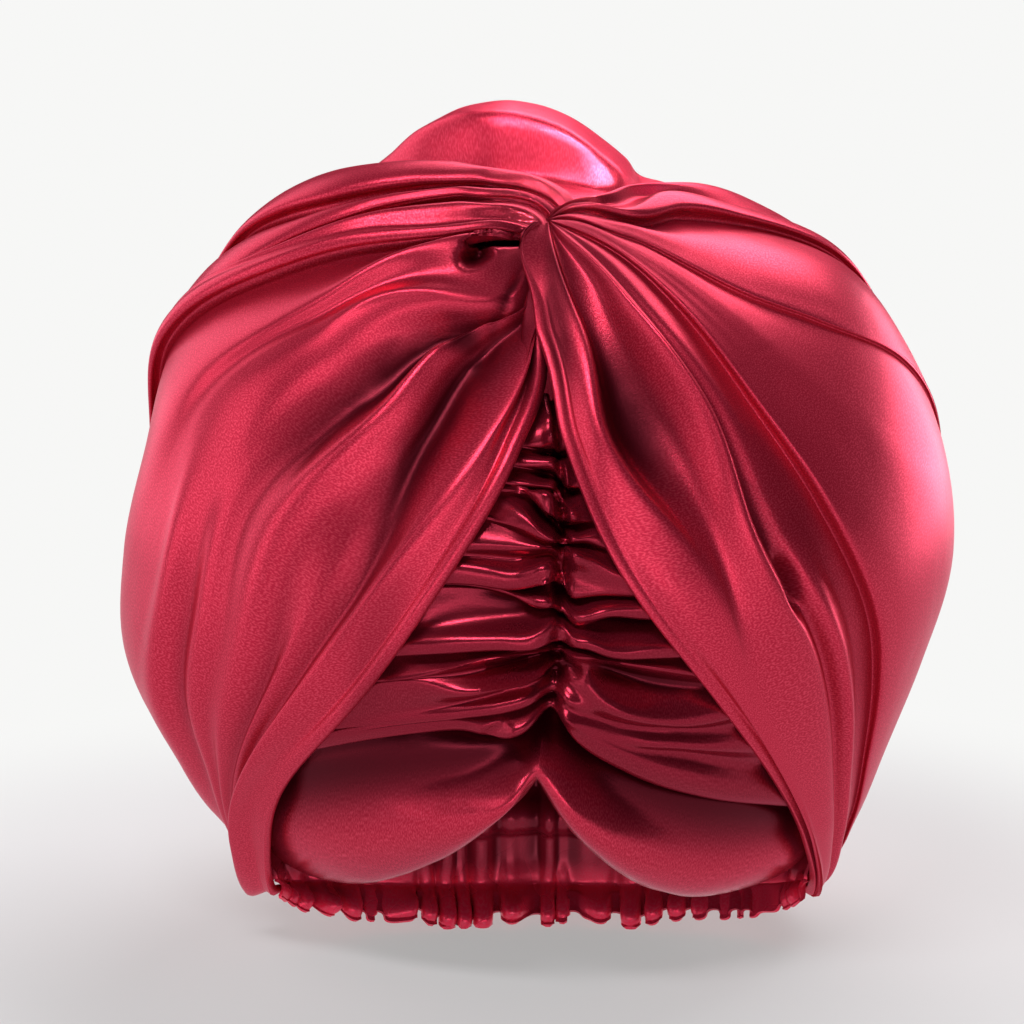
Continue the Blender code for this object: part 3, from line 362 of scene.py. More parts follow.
PANEL_RIGHT = (
    ((-20, -20, -20, -20, -20), (-3.0, -3.0, -3.0, -3.0, -3.0)),
    ((110, 110, 110, 110, 110), (1.0, 1.6, 1.0, 0.4, 0.0)),
    ((150, 150, 150, 150, 150), (-2.4, -2.0, -1.5, -1.2, -1.0), 0.5, 0.8),
    ((186, 190, 192, 195, 198), (2.0, 2.2, 1.4, 0.8, 0.0)),
    ((240, 240, 240, 240, 240), (-3.4, -3.4, -2.6, -1.6, -1.0), 0.5, 1.0),
    ((304, 301, 296, 293, 290), (2.6, 3.4, 3.0, 1.6, 0.5)),
    ((330, 326, 322, 318, 316), (-3.0, -2.6, -2.0, -1.2, -0.6), 0.5, 1.0),
    ((358, 356, 351, 344, 340), (1.6, 2.2, 2.4, 1.4, 0.4)),
    ((376, 374, 370, 380, 390), (-2.4, -2.4, -2.0, -1.2, -0.8), 0.4, 0.8),
    ((394, 396, 402, 428, 450), (3.2, 4.8, 4.4, 3.0, 1.0)),
    ((450, 452, 455, 462, 474), (1.0, 2.0, 2.4, 2.2, 0.8)),
    ((524, 512, 500, 492, 486), (-3.0, -2.6, -2.4, -1.6, -0.8), 0.7, 1.8),
    ((566, 556, 526, 512, 498), (1.6, 2.8, 4.2, 4.0, 1.6)),
    ((596, 588, 560, 556, 545), (-1.0, 0.6, -3.4, -4.4, -2.0), 0.6, 1.4),
    ((612, 602, 604, 600, 576), (1.4, 2.0, 1.0, 0.6, 0.2)),
    ((632, 620, 634, 622, 598), (3.2, 4.2, 4.6, 4.2, 1.8)),
    ((652, 644, 656, 648, 634), (-3.0, -2.4, -2.2, -1.8, -1.0), 0.6, 1.4),
    ((668, 654, 664, 664, 672), (2.2, 3.8, 1.6, 2.4, 1.0)),
    ((690, 676, 690, 696, 697), (-2.6, 1.4, -2.6, -2.8, -1.2)),
    ((718, 716, 738, 752, 722), (-2.2, 1.6, 4.4, 4.0, 1.8)),
    ((756, 766, 790, 778, 750), (1.0, 2.0, 1.4, 1.0, 0.4)),
    ((784, 806, 836, 812, 780), (1.6, 2.6, 2.6, 3.8, 2.0)),
    ((796, 826, 852, 840, 822), (1.8, 2.8, 2.8, 0.6, 0.0)),
    ((806, 842, 866, 872, 862), (2.0, 3.0, 3.4, 4.0, 2.2)),
    ((842, 884, 902, 902, 886), (-6.0, -7.0, -7.0, -5.0, -1.6), 0.8, 2.4),
    ((900, 908, 914, 912, 898), (-3.8, -3.6, -2.6, -1.6, -0.8)),
    ((940, 934, 936, 932, 916), (0.0, 0.0, 0.4, 0.6, 0.2)),
    ((985, 970, 966, 960, 945), (4.6, 6.4, 6.6, 5.6, 2.6)),
    ((1025, 1010, 1004, 994, 978), (3.8, 4.6, 4.8, 4.2, 2.0)),
    ((1062, 1062, 1060, 1036, 1010), (0.6, 0.8, 0.8, 0.8, 0.2)),
    ((1056, 1058, 1056, 1030, 1004), (-2.4, -2.4, -2.4, -2.4, -2.4)),
)
# The folds of both halves, and how much painted shade their last lines, which are the swags, get.
PANEL_HALVES = {
    "left": (PANEL_LEFT, (0.95, 0.85, 0.0, 0.25, 0.45, 0.45)),
    "right": (PANEL_RIGHT, (0.95, 0.80, 0.0, 0.25, 0.45, 0.45)),
}
PANEL_NUBS = (
    # side   share down, share out, half height, half width, height
    ("left", 0.476, 0.10, 0.022, 0.10, 4.0),
    ("left", 0.130, 0.10, 0.022, 0.20, 2.6),
    ("left", 0.850, 0.20, 0.028, 0.07, -3.0),
    ("right", 0.700, 0.13, 0.022, 0.10, -3.4),
)
PUCKER_REACH = 0.20  # share of a half row from the seam over which the stitches pucker the cloth
PUCKER_HEIGHT = 2.2
PUCKER_SPACING = 4.2
PUCKER_STRETCH = 3.0
PUCKER_SEED = {"left": 55, "right": 56}
PANEL_HALF_WIDTH = 90.0  # millimetres of cloth across a half, which its wrinkles are laid on
SEAM_SMOOTH = 0.25  # share of a half over which they begin
SWAG_CRINKLE = (1.6, 0.92, 0.05)  # they are higher on the swags by this share, from here down, over this

# ---- wrinkles ------------------------------------------------------------------------------
WRINKLES = (
    # piece   millimetres across and along one wrinkle, height, seed
    ("drape", 9.0, 70.0, 0.26, 3),
    ("drape", 3.6, 34.0, 0.05, 8),
    ("drape", 24.0, 48.0, 0.55, 12),
    ("crown", 16.0, 60.0, 0.90, 21),
    ("crown", 6.0, 40.0, 0.22, 24),
    ("crown", 40.0, 45.0, 1.20, 27),
    ("panel", 30.0, 5.0, 0.30, 31),
    ("panel", 20.0, 12.0, 0.45, 34),
    ("hem", 3.0, 8.0, 0.20, 41),
)
WRINKLE_LEAST = 0.2  # share of the wrinkles' height on a drape at the knot
WRINKLE_START = 60.0  # it is full this far from it
NOISE_TABLE = 97  # sides of the table of heights behind the wrinkles
NOISE_FEET = (0.37, 0.61)  # where a wrinkle pattern starts in its table, so no piece starts on a knot

# ---- mesh fineness -------------------------------------------------------------------------
DRAPE_COLUMNS = 270
DRAPE_ROWS = 165
DRAPE_ROW_CROWDING = 1.35  # above 1 the rows stand closer near the knot
PANEL_HALF_COLUMNS = 92
PANEL_COLUMN_CROWDING = 1.25  # above 1 they stand closer near the seam
PANEL_ROWS = 250
CROWN_EDGE_SPOKES = 250
CROWN_HEM_SPOKES = 200
CROWN_CORNER_SPOKES = 12
CROWN_EDGE_TRIM = 0.052  # share of the sewn edge left out at each ear, where the spokes cross to the hem
CROWN_RINGS = 84
CROWN_RIM_RINGS = 18
RUFFLE_STEPS = 16
RUFFLE_ROWS = 26
CREASE_ANGLE = 72.0
POLE_MERGE = 1e-6

# ---- the tables of each drape --------------------------------------------------------------
# Each drape's fold lines, where they begin, its seam, its rolled edge and its pleats.
DRAPES = {
    "left": (LEFT_LINES, LEFT_STARTS, LEFT_SEAM, LEFT_ROLL, LEFT_PLEATS),
    "right": (RIGHT_LINES, RIGHT_STARTS, RIGHT_SEAM, RIGHT_ROLL, RIGHT_PLEATS),
}

# ---- the satin's finish --------------------------------------------------------------------
THREAD_STRETCH = (1.0, 0.75, 1.0)  # how much faster the threads change across than along
SLUB_STRETCH = (1.0, 0.06, 1.0)
SLUB_PACE = 0.4  # slubs for each thread
SLUB_HEIGHT = 0.10  # against a thread's
GLINT_FROM = 0.42  # threads this high begin to catch the light
GLINT_TO = 0.66
DRIFT_SHARE = 0.55  # the most of the deeper dye that the drift brings in
WEAVE_RELIEF = 0.00003  # metres
CRUMPLE_RELIEF = 0.001
CRUMPLE_SIZE = 55.0
CRUMPLE_GLOSS = (0.04, 0.06)  # how much the crumples smooth the shine and how much they roughen it
SHARE = {"min": 0.0, "max": 1.0}  # range of a setting that is a share or a colour

# ---- stage ---------------------------------------------------------------------------------
CAMERA_DROP = 10.0
CAMERA_DISTANCE = 1.0
CAMERA_OFF_CENTRE = (0.0084, -0.0099)  # how far right and up of the body centre it aims
FLOOR_RADIUS = 25.0
FLOOR_SIDES = 96
FLOOR_GAP = 0.0002
FLOOR_GLOW = 0.42  # share of the backdrop's tone that the floor shows everywhere
FLOOR_GLOW_UNSEEN = 0.72  # and that it lends to what mirrors in the satin
FLOOR_GLOW_FROM = 0.155  # this far from the middle, in metres, the camera begins to see more of it
FLOOR_GLOW_TO = 0.31  # and here all of it
SOFTBOXES = (
    # name    position              aimed at            size          power  colour, spread in degrees
    ("top", (0.35, 0.55, 1.05), (0.0, 0.0, 0.15), (1.1, 0.7), 17.0, (1.0, 0.99, 0.98), 180.0),
    ("front_high", (-0.30, -0.75, 0.95), (0.0, 0.0, 0.12), (0.6, 0.18), 8.0, (1.0, 0.99, 0.99), 180.0),
    ("front_low", (0.0, -1.40, 0.12), (0.0, 0.0, 0.0), (1.6, 0.22), 4.0, (1.0, 0.98, 0.99), 180.0),
    ("left", (-1.20, -0.42, 0.30), (0.0, 0.0, 0.12), (0.8, 0.8), 3.6, (1.0, 0.98, 0.99), 180.0),
    ("left_back", (-0.90, 0.65, 0.55), (0.0, 0.0, 0.12), (0.9, 1.1), 5.8, (1.0, 0.98, 0.99), 180.0),
    ("right_back", (0.98, 0.78, 0.14), (0.0, 0.0, 0.10), (0.8, 0.7), 11.0, (0.99, 0.99, 1.0), 180.0),
    ("lobe", (0.26, -0.60, 0.86), (0.018, -0.03, 0.249), (0.07, 0.07), 0.026, (1.0, 0.98, 0.99), 3.0),
)
ROOM_BRIGHT = (0.0, 0.80, 0.60)  # the way the brightest part of the room lies
ROOM_SPREAD = (-0.35, 0.85)  # cosines between which the room brightens
ROOM_DARK = 0.04
BACKDROP_TONE = (0.93, 0.93, 0.92)


# ---- curves and noise ----------------------------------------------------------------------
def smooth_curve(stations, values, at):
    """A cubic through the values given at the stations, read along the first axis.

    Between two stations the value is the Hermite cubic whose slopes are the central differences.
    """
    stations = np.asarray(stations, float)
    values = np.asarray(values, float)
    at = np.asarray(at, float)
    slopes = np.gradient(values, stations, axis=0)
    span = np.clip(np.searchsorted(stations, at, side="right") - 1, 0, len(stations) - 2)
    width = stations[span + 1] - stations[span]
    x = np.clip((at - stations[span]) / width, 0.0, 1.0)
    shape = x.shape + (1,) * (values.ndim - 1)
    x = x.reshape(shape)
    width = width.reshape(shape)
    start = (2 * x**3 - 3 * x**2 + 1) * values[span]
    start = start + (x**3 - 2 * x**2 + x) * width * slopes[span]
    end = (-2 * x**3 + 3 * x**2) * values[span + 1]
    return start + end + (x**3 - x**2) * width * slopes[span + 1]


def smooth_step(x):
    """0 below 0, 1 above 1, and three x squared less two x cubed between."""
    x = np.clip(x, 0.0, 1.0)
    return x * x * (3.0 - 2.0 * x)


def cloth_noise(across, along, seed):
    """Seeded heights from -1 to 1 at whole numbers, joined by smooth steps both ways."""
    heights = np.random.default_rng(seed).uniform(-1.0, 1.0, (NOISE_TABLE, NOISE_TABLE))
    across = across + NOISE_FEET[0]
    along = along + NOISE_FEET[1]
    i = np.floor(across).astype(int)
    j = np.floor(along).astype(int)
    s = smooth_step(across - i)
    t = smooth_step(along - j)
    near, far = (
        heights[i % NOISE_TABLE, k] * (1 - s) + heights[(i + 1) % NOISE_TABLE, k] * s
        for k in (j % NOISE_TABLE, (j + 1) % NOISE_TABLE)
    )
    return near * (1 - t) + far * t


def wrinkle_height(piece, across, along, size):
    """Sum of the piece's wrinkle patterns, each stretched to its own width and length."""
    height = np.zeros_like(across)
    for owner, wide, long, tall, seed in WRINKLES:
        if owner == piece:
            height = height + tall * cloth_noise(across / wide, along / long, seed)
    return height * size


# ---- the puffed body -----------------------------------------------------------------------
def unit(vectors):
    """Each vector divided by its own length."""
    return vectors / np.linalg.norm(vectors, axis=-1, keepdims=True)


def direction(azimuth, elevation):
    """Unit vector from the body centre: azimuth 0 is the front and 90 the right."""
    azimuth = np.radians(azimuth)
    elevation = np.radians(elevation)
    flat = np.cos(elevation)
    return np.stack([np.sin(azimuth) * flat, -np.cos(azimuth) * flat, np.sin(elevation)], -1)


def body_radius(towards):
    """Radius of the puffed body: an ellipse round each level, its half axes from the table."""
    table = np.array(BODY_TABLE)
    elevation = np.degrees(np.arcsin(np.clip(towards[..., 2], -1.0, 1.0)))
    left, right, front, back = (smooth_curve(table[:, 0], table[:, k], elevation) for k in range(1, 5))
    flat = np.hypot(towards[..., 0], towards[..., 1]) + 1e-9
    across = towards[..., 0] / flat
    ahead = -towards[..., 1] / flat
    side = np.where(across < 0.0, left, right)
    depth = np.where(ahead > 0.0, front, back)
    return 1.0 / np.sqrt((across / side) ** 2 + (ahead / depth) ** 2)


def from_knot(bearing, reach):
    """Direction at a bearing about the knot and a distance along the cloth from it."""
    knot = direction(KNOT_AZIMUTH, KNOT_ELEVATION)
    up = unit(np.array([0.0, 0.0, 1.0]) - knot[2] * knot)
    right = np.cross(up, knot)
    bearing = np.radians(bearing)[..., None]
    angle = (reach / CHART_RADIUS)[..., None]
    return np.cos(angle) * knot + np.sin(angle) * (np.cos(bearing) * up + np.sin(bearing) * right)


def place(towards, radius):
    """Points on the floor or above it, at this radius from the body centre."""
    points = towards * radius[..., None] + np.array(BODY_CENTRE)
    points[..., 2] = np.maximum(points[..., 2], 0.0)
    return points


# ---- sheets and meshes ---------------------------------------------------------------------
def sheet_normals(points, ring=False):
    """Outward normals of a point grid: the cross product of its differences along both ways."""
    if ring:
        points = np.concatenate([points[:, -1:], points, points[:, :1]], axis=1)
    down = np.gradient(points, axis=0)
    across = np.gradient(points, axis=1)
    normal = np.cross(down, across)
    if ring:
        points = points[:, 1:-1]
        normal = normal[:, 1:-1]
    normal = normal / (np.linalg.norm(normal, axis=-1, keepdims=True) + 1e-9)
    facing = np.sum(normal * (points - np.array(BODY_CENTRE)))
    return normal * np.sign(facing)


def closed_sheet(outer, inner, ring=False):
    """Vertices and faces of a sheet with two sides and an edge all round, from two point grids.

    Where ring is set the last column joins the first, and the first row is one point, the pole.
    """
    rows, columns = outer.shape[:2]
    index = np.arange(rows * columns).reshape(rows, columns)
    if ring:
        index = np.concatenate([index, index[:, :1]], axis=1)
    count = rows * columns
    a, b = index[:-1, :-1].ravel(), index[:-1, 1:].ravel()
    c, d = index[1:, 1:].ravel(), index[1:, :-1].ravel()
    borders = [index[-1]] if ring else [index[0][::-1], index[-1], index[:, 0], index[::-1, -1]]
    faces = [np.stack([a, b, c, d], 1), np.stack([d, c, b, a], 1) + count]
    faces += [np.stack([e[:-1], e[1:], e[1:] + count, e[:-1] + count], 1)[:, ::-1] for e in borders]
    return np.concatenate([outer.reshape(-1, 3), inner.reshape(-1, 3)]), np.concatenate(faces)


def make_mesh(name, sheet, wall, ring=False):
    """One closed shell of satin: its outer grid, the same moved in along its normals, and an edge.

    The sheet is its outer grid, spread and a mask. spread holds each point's place on the flat cloth
    in millimetres, which becomes the UV map, and the mask how much shade is painted on each point,
    from 0 to 1, which becomes the attribute "fold".
    """
    outer, spread, painted_shade_mask = sheet
    inner = outer - sheet_normals(outer, ring) * wall
    if ring:
        inner[0] = inner[0].mean(axis=0)
    inner[..., 2] = np.maximum(inner[..., 2], 0.0)
    points, faces = closed_sheet(outer, inner, ring)
    place_on_cloth = np.concatenate([spread.reshape(-1, 2)] * 2) * MM
    mesh = bpy.data.meshes.new(name)
    mesh.vertices.add(len(points))
    mesh.vertices.foreach_set("co", (points * MM).ravel())
    mesh.loops.add(faces.size)
    mesh.loops.foreach_set("vertex_index", faces.ravel())
    mesh.polygons.add(len(faces))
    mesh.polygons.foreach_set("loop_start", np.arange(0, faces.size, 4))
    layer = mesh.uv_layers.new(name="cloth")
    layer.data.foreach_set("uv", place_on_cloth[faces.ravel()].ravel())
    # The attribute "fold" carries the painted shade.
    fold = mesh.attributes.new("fold", "FLOAT", "POINT")
    fold.data.foreach_set("value", np.concatenate([np.clip(painted_shade_mask, 0.0, 1.0).ravel()] * 2))
    mesh.update(calc_edges=True)
    shape = bmesh.new()
    shape.from_mesh(mesh)
    if ring:
        bmesh.ops.remove_doubles(shape, verts=shape.verts, dist=POLE_MERGE)
    if shape.calc_volume(signed=True) < 0.0:
        bmesh.ops.reverse_faces(shape, faces=shape.faces)
    shape.to_mesh(mesh)
    shape.free()
    return mesh


def add_piece(name, sheet, wall, satin, ring=False):
    """Adds a finished sheet in place of its plain frame node, in this satin, and hides that node."""
    mesh = make_mesh(name + "_cloth", sheet, wall, ring)
    mesh.materials.append(bpy.data.materials[satin + "_finish"])
    mesh.shade_smooth()
    mesh.set_sharp_from_angle(angle=np.radians(CREASE_ANGLE))
    piece = bpy.data.objects.new(name + "_cloth", mesh)
    bpy.context.scene.collection.objects.link(piece)
    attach(piece, "root")
    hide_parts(name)


# ---- drapes --------------------------------------------------------------------------------
def section_rows(names, roll, pleats):
    """Spells a cross-section out as rows: line, other line, share of its height, sideways, rise."""
    width, fullness = roll
    rows = [
        (names[0], names[0], 0.0, width * across, rise * (fullness if rise > ROLL_FOOT else 1.0))
        for across, rise in ROLLED_SECTION
    ]
    for name in names[1:]:
        if name in pleats:
            other, lip, tuck = pleats[name]
            laid = [(share, lip * lips + tuck * tucks) for share, lips, tucks in PLEAT_SECTION]
            rows += [(name, other, share, sideways, 0.0) for share, sideways in laid]
        else:
            rows.append((name, name, 0.0, 0.0, 0.0))
    return rows


def drape_lines(tables, starts, seam, roll, pleats, along):
    """Bearing, reach and height of every row of the cross-section at these shares of its length."""
    names = list(tables)
    start = np.interp(np.arange(len(names)), [names.index(key) for key in starts], list(starts.values()))
    seam = np.array(seam)
    turn = np.sign(tables[names[-1]][0][-1] - tables[names[0]][0][-1])
    near_seam = smooth_step((along - SEAM_CALM_FROM) / (1.0 - SEAM_CALM_FROM))
    lasting = 1.0 - smooth_step((along - ROLL_FADE[0]) / ROLL_FADE[1])
    turned = TURN_IN * smooth_step((along - 1.0 + TURN_IN_SHARE) / TURN_IN_SHARE)
    lines = []
    for line, other, share, sideways, rise in section_rows(names, roll, pleats):
        bearings = tables[line][0]
        end = np.interp(bearings[-1], seam[:, 0], seam[:, 1])
        first = start[names.index(line)]
        reach = first + (end - first) * along
        calm = smooth_step(reach / KNOT_CALM) * (1.0 - (1.0 - SEAM_CALM) * near_seam)
        relief = 1.0 + (FOLD_RELIEF - 1.0) * smooth_step((reach - KNOT_CALM / 2) / KNOT_CALM)
        low, high = (
            FOLD_MIDDLE + (smooth_curve(LINE_SHARES, tables[key][1], along) - FOLD_MIDDLE) * relief
            for key in (line, other)
        )
        girth = CHART_RADIUS * np.sin(reach / CHART_RADIUS)
        bearing = smooth_curve(LINE_SHARES, bearings, along) + turn * np.degrees(sideways * calm / girth)
        risen = rise * np.maximum(calm, reach > KNOT_CALM) * (lasting if rise > ROLL_FOOT else 1.0)
        lines.append(np.stack([bearing, reach, low + (high - low) * share + risen - turned], -1))
    return np.array(lines)


def across_lines(lines, width, columns):
    """A smooth sheet through the lines, and how far along its cross-section each column lies.

    The cubic's stations grow with the root of the distance between neighbouring lines, so that the
    tight turn of a pleat gets as many columns as the broad cloth beside it.
    """
    steps = np.hypot(np.diff(lines[..., 0], axis=0) * width, np.diff(lines[..., 2], axis=0))
    steps = np.mean(steps, axis=1)
    stations = np.concatenate([[0.0], np.cumsum(np.sqrt(steps + LEAST_STEP))])
    at = np.linspace(0.0, stations[-1], columns)
    run = np.interp(at, stations, np.concatenate([[0.0], np.cumsum(steps)]))
    return smooth_curve(stations, lines, at), run


def press_hollows(side, bearing, reach, towards):
    """How far the hollows press each point in, and how much shade they paint on it.

    Each hollow has a flat floor and round shoulders.
    """
    shift = np.zeros_like(towards)
    dark = np.zeros_like(reach)
    for owner, pit_bearing, pit_reach, across, along, depth, shoulder, level, painted_shading in HOLLOWS:
        if owner == side:
            sideways = np.radians(bearing - pit_bearing) * reach
            distance = np.hypot(sideways / across, (reach - pit_reach) / along)
            pressed = 1.0 - smooth_step((distance - 1.0) / shoulder + 0.5)
            way = level * np.array([0.0, 1.0, 0.0]) - (1.0 - level) * towards
            shift = shift + depth * pressed[..., None] * way
            dark = np.maximum(dark, pressed * painted_shading)
    return shift, dark


def drape_sheet(side, wrinkles):
    """A drape's outer grid, its place on the flat cloth and the shade painted on each point.

    Rows follow the reach from the knot, columns run across the fold lines. A point stands on the
    puffed body plus the height of the folds, less the hollows, plus wrinkles that fan out with reach.
    """
    along = np.linspace(0.0, 1.0, DRAPE_ROWS) ** DRAPE_ROW_CROWDING
    lines = drape_lines(*DRAPES[side], along)
    girth = CHART_RADIUS * np.sin(lines[..., 1] / CHART_RADIUS)
    grid, run = across_lines(lines, np.radians(np.mean(girth, axis=0)), DRAPE_COLUMNS)
    bearing, reach, height = grid.T
    fan = np.broadcast_to(run, reach.shape)
    # Painted shade: darker where the cloth lies low in a fold, in the hollows and near the knot.
    painted_shade_mask = smooth_step((DRAPE_SHADE[0] - height) / DRAPE_SHADE[1])
    loose = WRINKLE_LEAST + (1.0 - WRINKLE_LEAST) * smooth_step(reach / WRINKLE_START)
    height = height + wrinkle_height("drape", fan, reach, wrinkles * loose)
    towards = from_knot(bearing, reach)
    shift, dark = press_hollows(side, bearing, reach, towards)
    points = place(towards, body_radius(towards) + height) + shift
    near_knot = KNOT_SHADE[0] * (1.0 - smooth_step((reach - KNOT_SHADE[1]) / KNOT_SHADE[2]))
    return points, np.stack([fan, reach], -1), np.maximum(np.maximum(painted_shade_mask, dark), near_knot)


# ---- ruched panel --------------------------------------------------------------------------
def panel_lines(table, shades, out):
    """Share down the seam, painted shade and height of every row, at these shares of the half's width.

    A lap is a pleat's section taken backwards: it rises from its crease to the line before it.
    """
    shades = (PANEL_SHADE[2],) * (len(table) - len(shades)) + shades
    relief = PANEL_RELIEF[0] + PANEL_RELIEF[1] * np.exp(-((out / PANEL_RELIEF[2]) ** 2))
    crest = np.zeros(len(PANEL_STATIONS))
    lines = []
    for (places, heights, *lap), shade in zip(table, shades):
        places = np.array(places) / 1000.0
        heights = np.array(heights)
        rows = [(places, heights)]
        if lap:
            backs = [lap[0] * lips + lap[1] * tucks for _, lips, tucks in PLEAT_SECTION]
            rises = [(crest - heights) * share for share, _, _ in PLEAT_SECTION]
            rows = [(places - back / PANEL_LENGTH, heights + rise) for back, rise in zip(backs, rises)][::-1]
        for row_places, row_heights in rows:
            down = smooth_curve(PANEL_STATIONS, row_places, out)
            height = relief * smooth_curve(PANEL_STATIONS, row_heights, out)
            lines.append(np.stack([down, np.full_like(down, shade), height], -1))
        crest = heights
    return np.array(lines)


def nub_height(side, down, out):
    """Height of the small knobs and pits beside the seam, each a smooth round bump."""
    height = np.zeros_like(down)
    for owner, at_down, at_out, half_down, half_out, tall in PANEL_NUBS:
        if owner == side:
            distance = np.hypot((down - at_down) / half_down, (out - at_out) / half_out)
            height = height + tall * (1.0 - smooth_step(distance))
    return height


def panel_angles(side, down, out):
    """Azimuth, elevation and end recess at a place on one half of the panel, by parabolas across it."""
    table = np.array(PANEL_TABLE)
    first = 3 if side == "left" else 7
    corners = [smooth_curve(table[:, 0], table[:, k], down) for k in (1, 2, *range(first, first + 4), 11)]
    near = 2 * (out - 0.5) * (out - 1.0)
    middle = 4 * out * (1.0 - out)
    far = 2 * out * (out - 0.5)
    azimuth = near * corners[0] + middle * corners[2] + far * corners[4]
    elevation = near * corners[1] + middle * corners[3] + far * corners[5]
    beyond = np.maximum(down - 1.0, 0.0) * PANEL_LENGTH
    return azimuth, elevation - np.degrees(beyond / CHART_RADIUS), corners[6]


def panel_sheet(wrinkles):
    """The panel's outer grid, its place on the flat cloth and the shade painted on it.

    Each half follows its own folds. Near the seam both run into their common mean, sunk by the
    stitches and puckered by a fine pattern that dies away with the distance from the seam.
    """
    out = np.linspace(0.0, 1.0, PANEL_HALF_COLUMNS) ** PANEL_COLUMN_CROWDING
    joined = np.exp(-((out / SEAM_WIDTH) ** 2))
    grids = [
        across_lines(panel_lines(table, shades, out), PANEL_LENGTH, PANEL_ROWS)
        for table, shades in PANEL_HALVES.values()
    ]
    mean = (grids[0][0] + grids[1][0])[:, :1] / 2
    parts = []
    for side, (grid, run) in zip(PANEL_HALVES, grids):
        shade = grid[..., 1]
        grid = grid + (mean - grid) * joined[:, None]
        down, height = grid[..., 0], grid[..., 2]
        share = np.broadcast_to(out, down.shape)
        pucker = cloth_noise(down * PANEL_LENGTH / PUCKER_SPACING, share * PUCKER_STRETCH, PUCKER_SEED[side])
        pucker = pucker * PUCKER_HEIGHT * np.exp(-share / PUCKER_REACH) * (1.0 - joined)
        height = height - SEAM_DEPTH * joined + pucker + nub_height(side, down, share)
        # Painted shade: darker where the cloth lies low, all over above the swags, and in bands on the swags.
        painted_shade_mask = np.maximum(smooth_step((PANEL_SHADE[0] - height) / PANEL_SHADE[1]), shade)
        more, start, reach = SWAG_CRINKLE
        crinkled = wrinkles * (1.0 + more * smooth_step((down - start) / reach))
        crinkled = crinkled * smooth_step(share / SEAM_SMOOTH)
        height = height + wrinkle_height("panel", share * PANEL_HALF_WIDTH, down * PANEL_LENGTH, crinkled)
        azimuth, elevation, end_recess = panel_angles(side, down, share)
        towards = direction(azimuth, elevation)
        recess = PANEL_RECESS + (end_recess - PANEL_RECESS) * share**2
        points = place(towards, body_radius(towards) + height - recess)
        across = np.abs(np.radians(azimuth - azimuth[:, :1])) * CHART_RADIUS
        across = -across if side == "left" else across
        parts.append((points, np.stack([across, np.broadcast_to(run[:, None], down.shape)], -1), painted_shade_mask))
    return [np.concatenate([left[:, :0:-1], right], axis=1) for left, right in zip(*parts)]


# ---- nape hem ------------------------------------------------------------------------------
def hem_line(turn, drop):
    """Points of the nape hem, an arc that dips at its middle and flares towards the face at its foot.

    turn runs from -1 at the left ear to 1 at the right one, drop from 0 at the stitch line to 1 at
    the foot of the ruffle.
    """
    angle = turn * np.pi / 2
    rise = np.maximum(np.abs(turn) - RUFFLE_FLAT_SHARE, 0.0) / (1.0 - RUFFLE_FLAT_SHARE)
    rise = rise**RUFFLE_RISE_POWER
    sag = HEM_SAG - RUFFLE_CORNER_FLARE_LOSS * drop
    x = BODY_CENTRE[0] + (HEM_HALF_WIDTH - RUFFLE_TAPER * drop) * np.sin(angle)
    y = BODY_CENTRE[1] + HEM_BACK - RUFFLE_FLARE * drop - sag * (1.0 - np.cos(angle))
    z = (HEM_HEIGHT + HEM_CORNER_RISE * rise) * (1.0 - drop) + RUFFLE_CORNER_RISE * rise * drop
    return np.stack([x, y, z], -1)


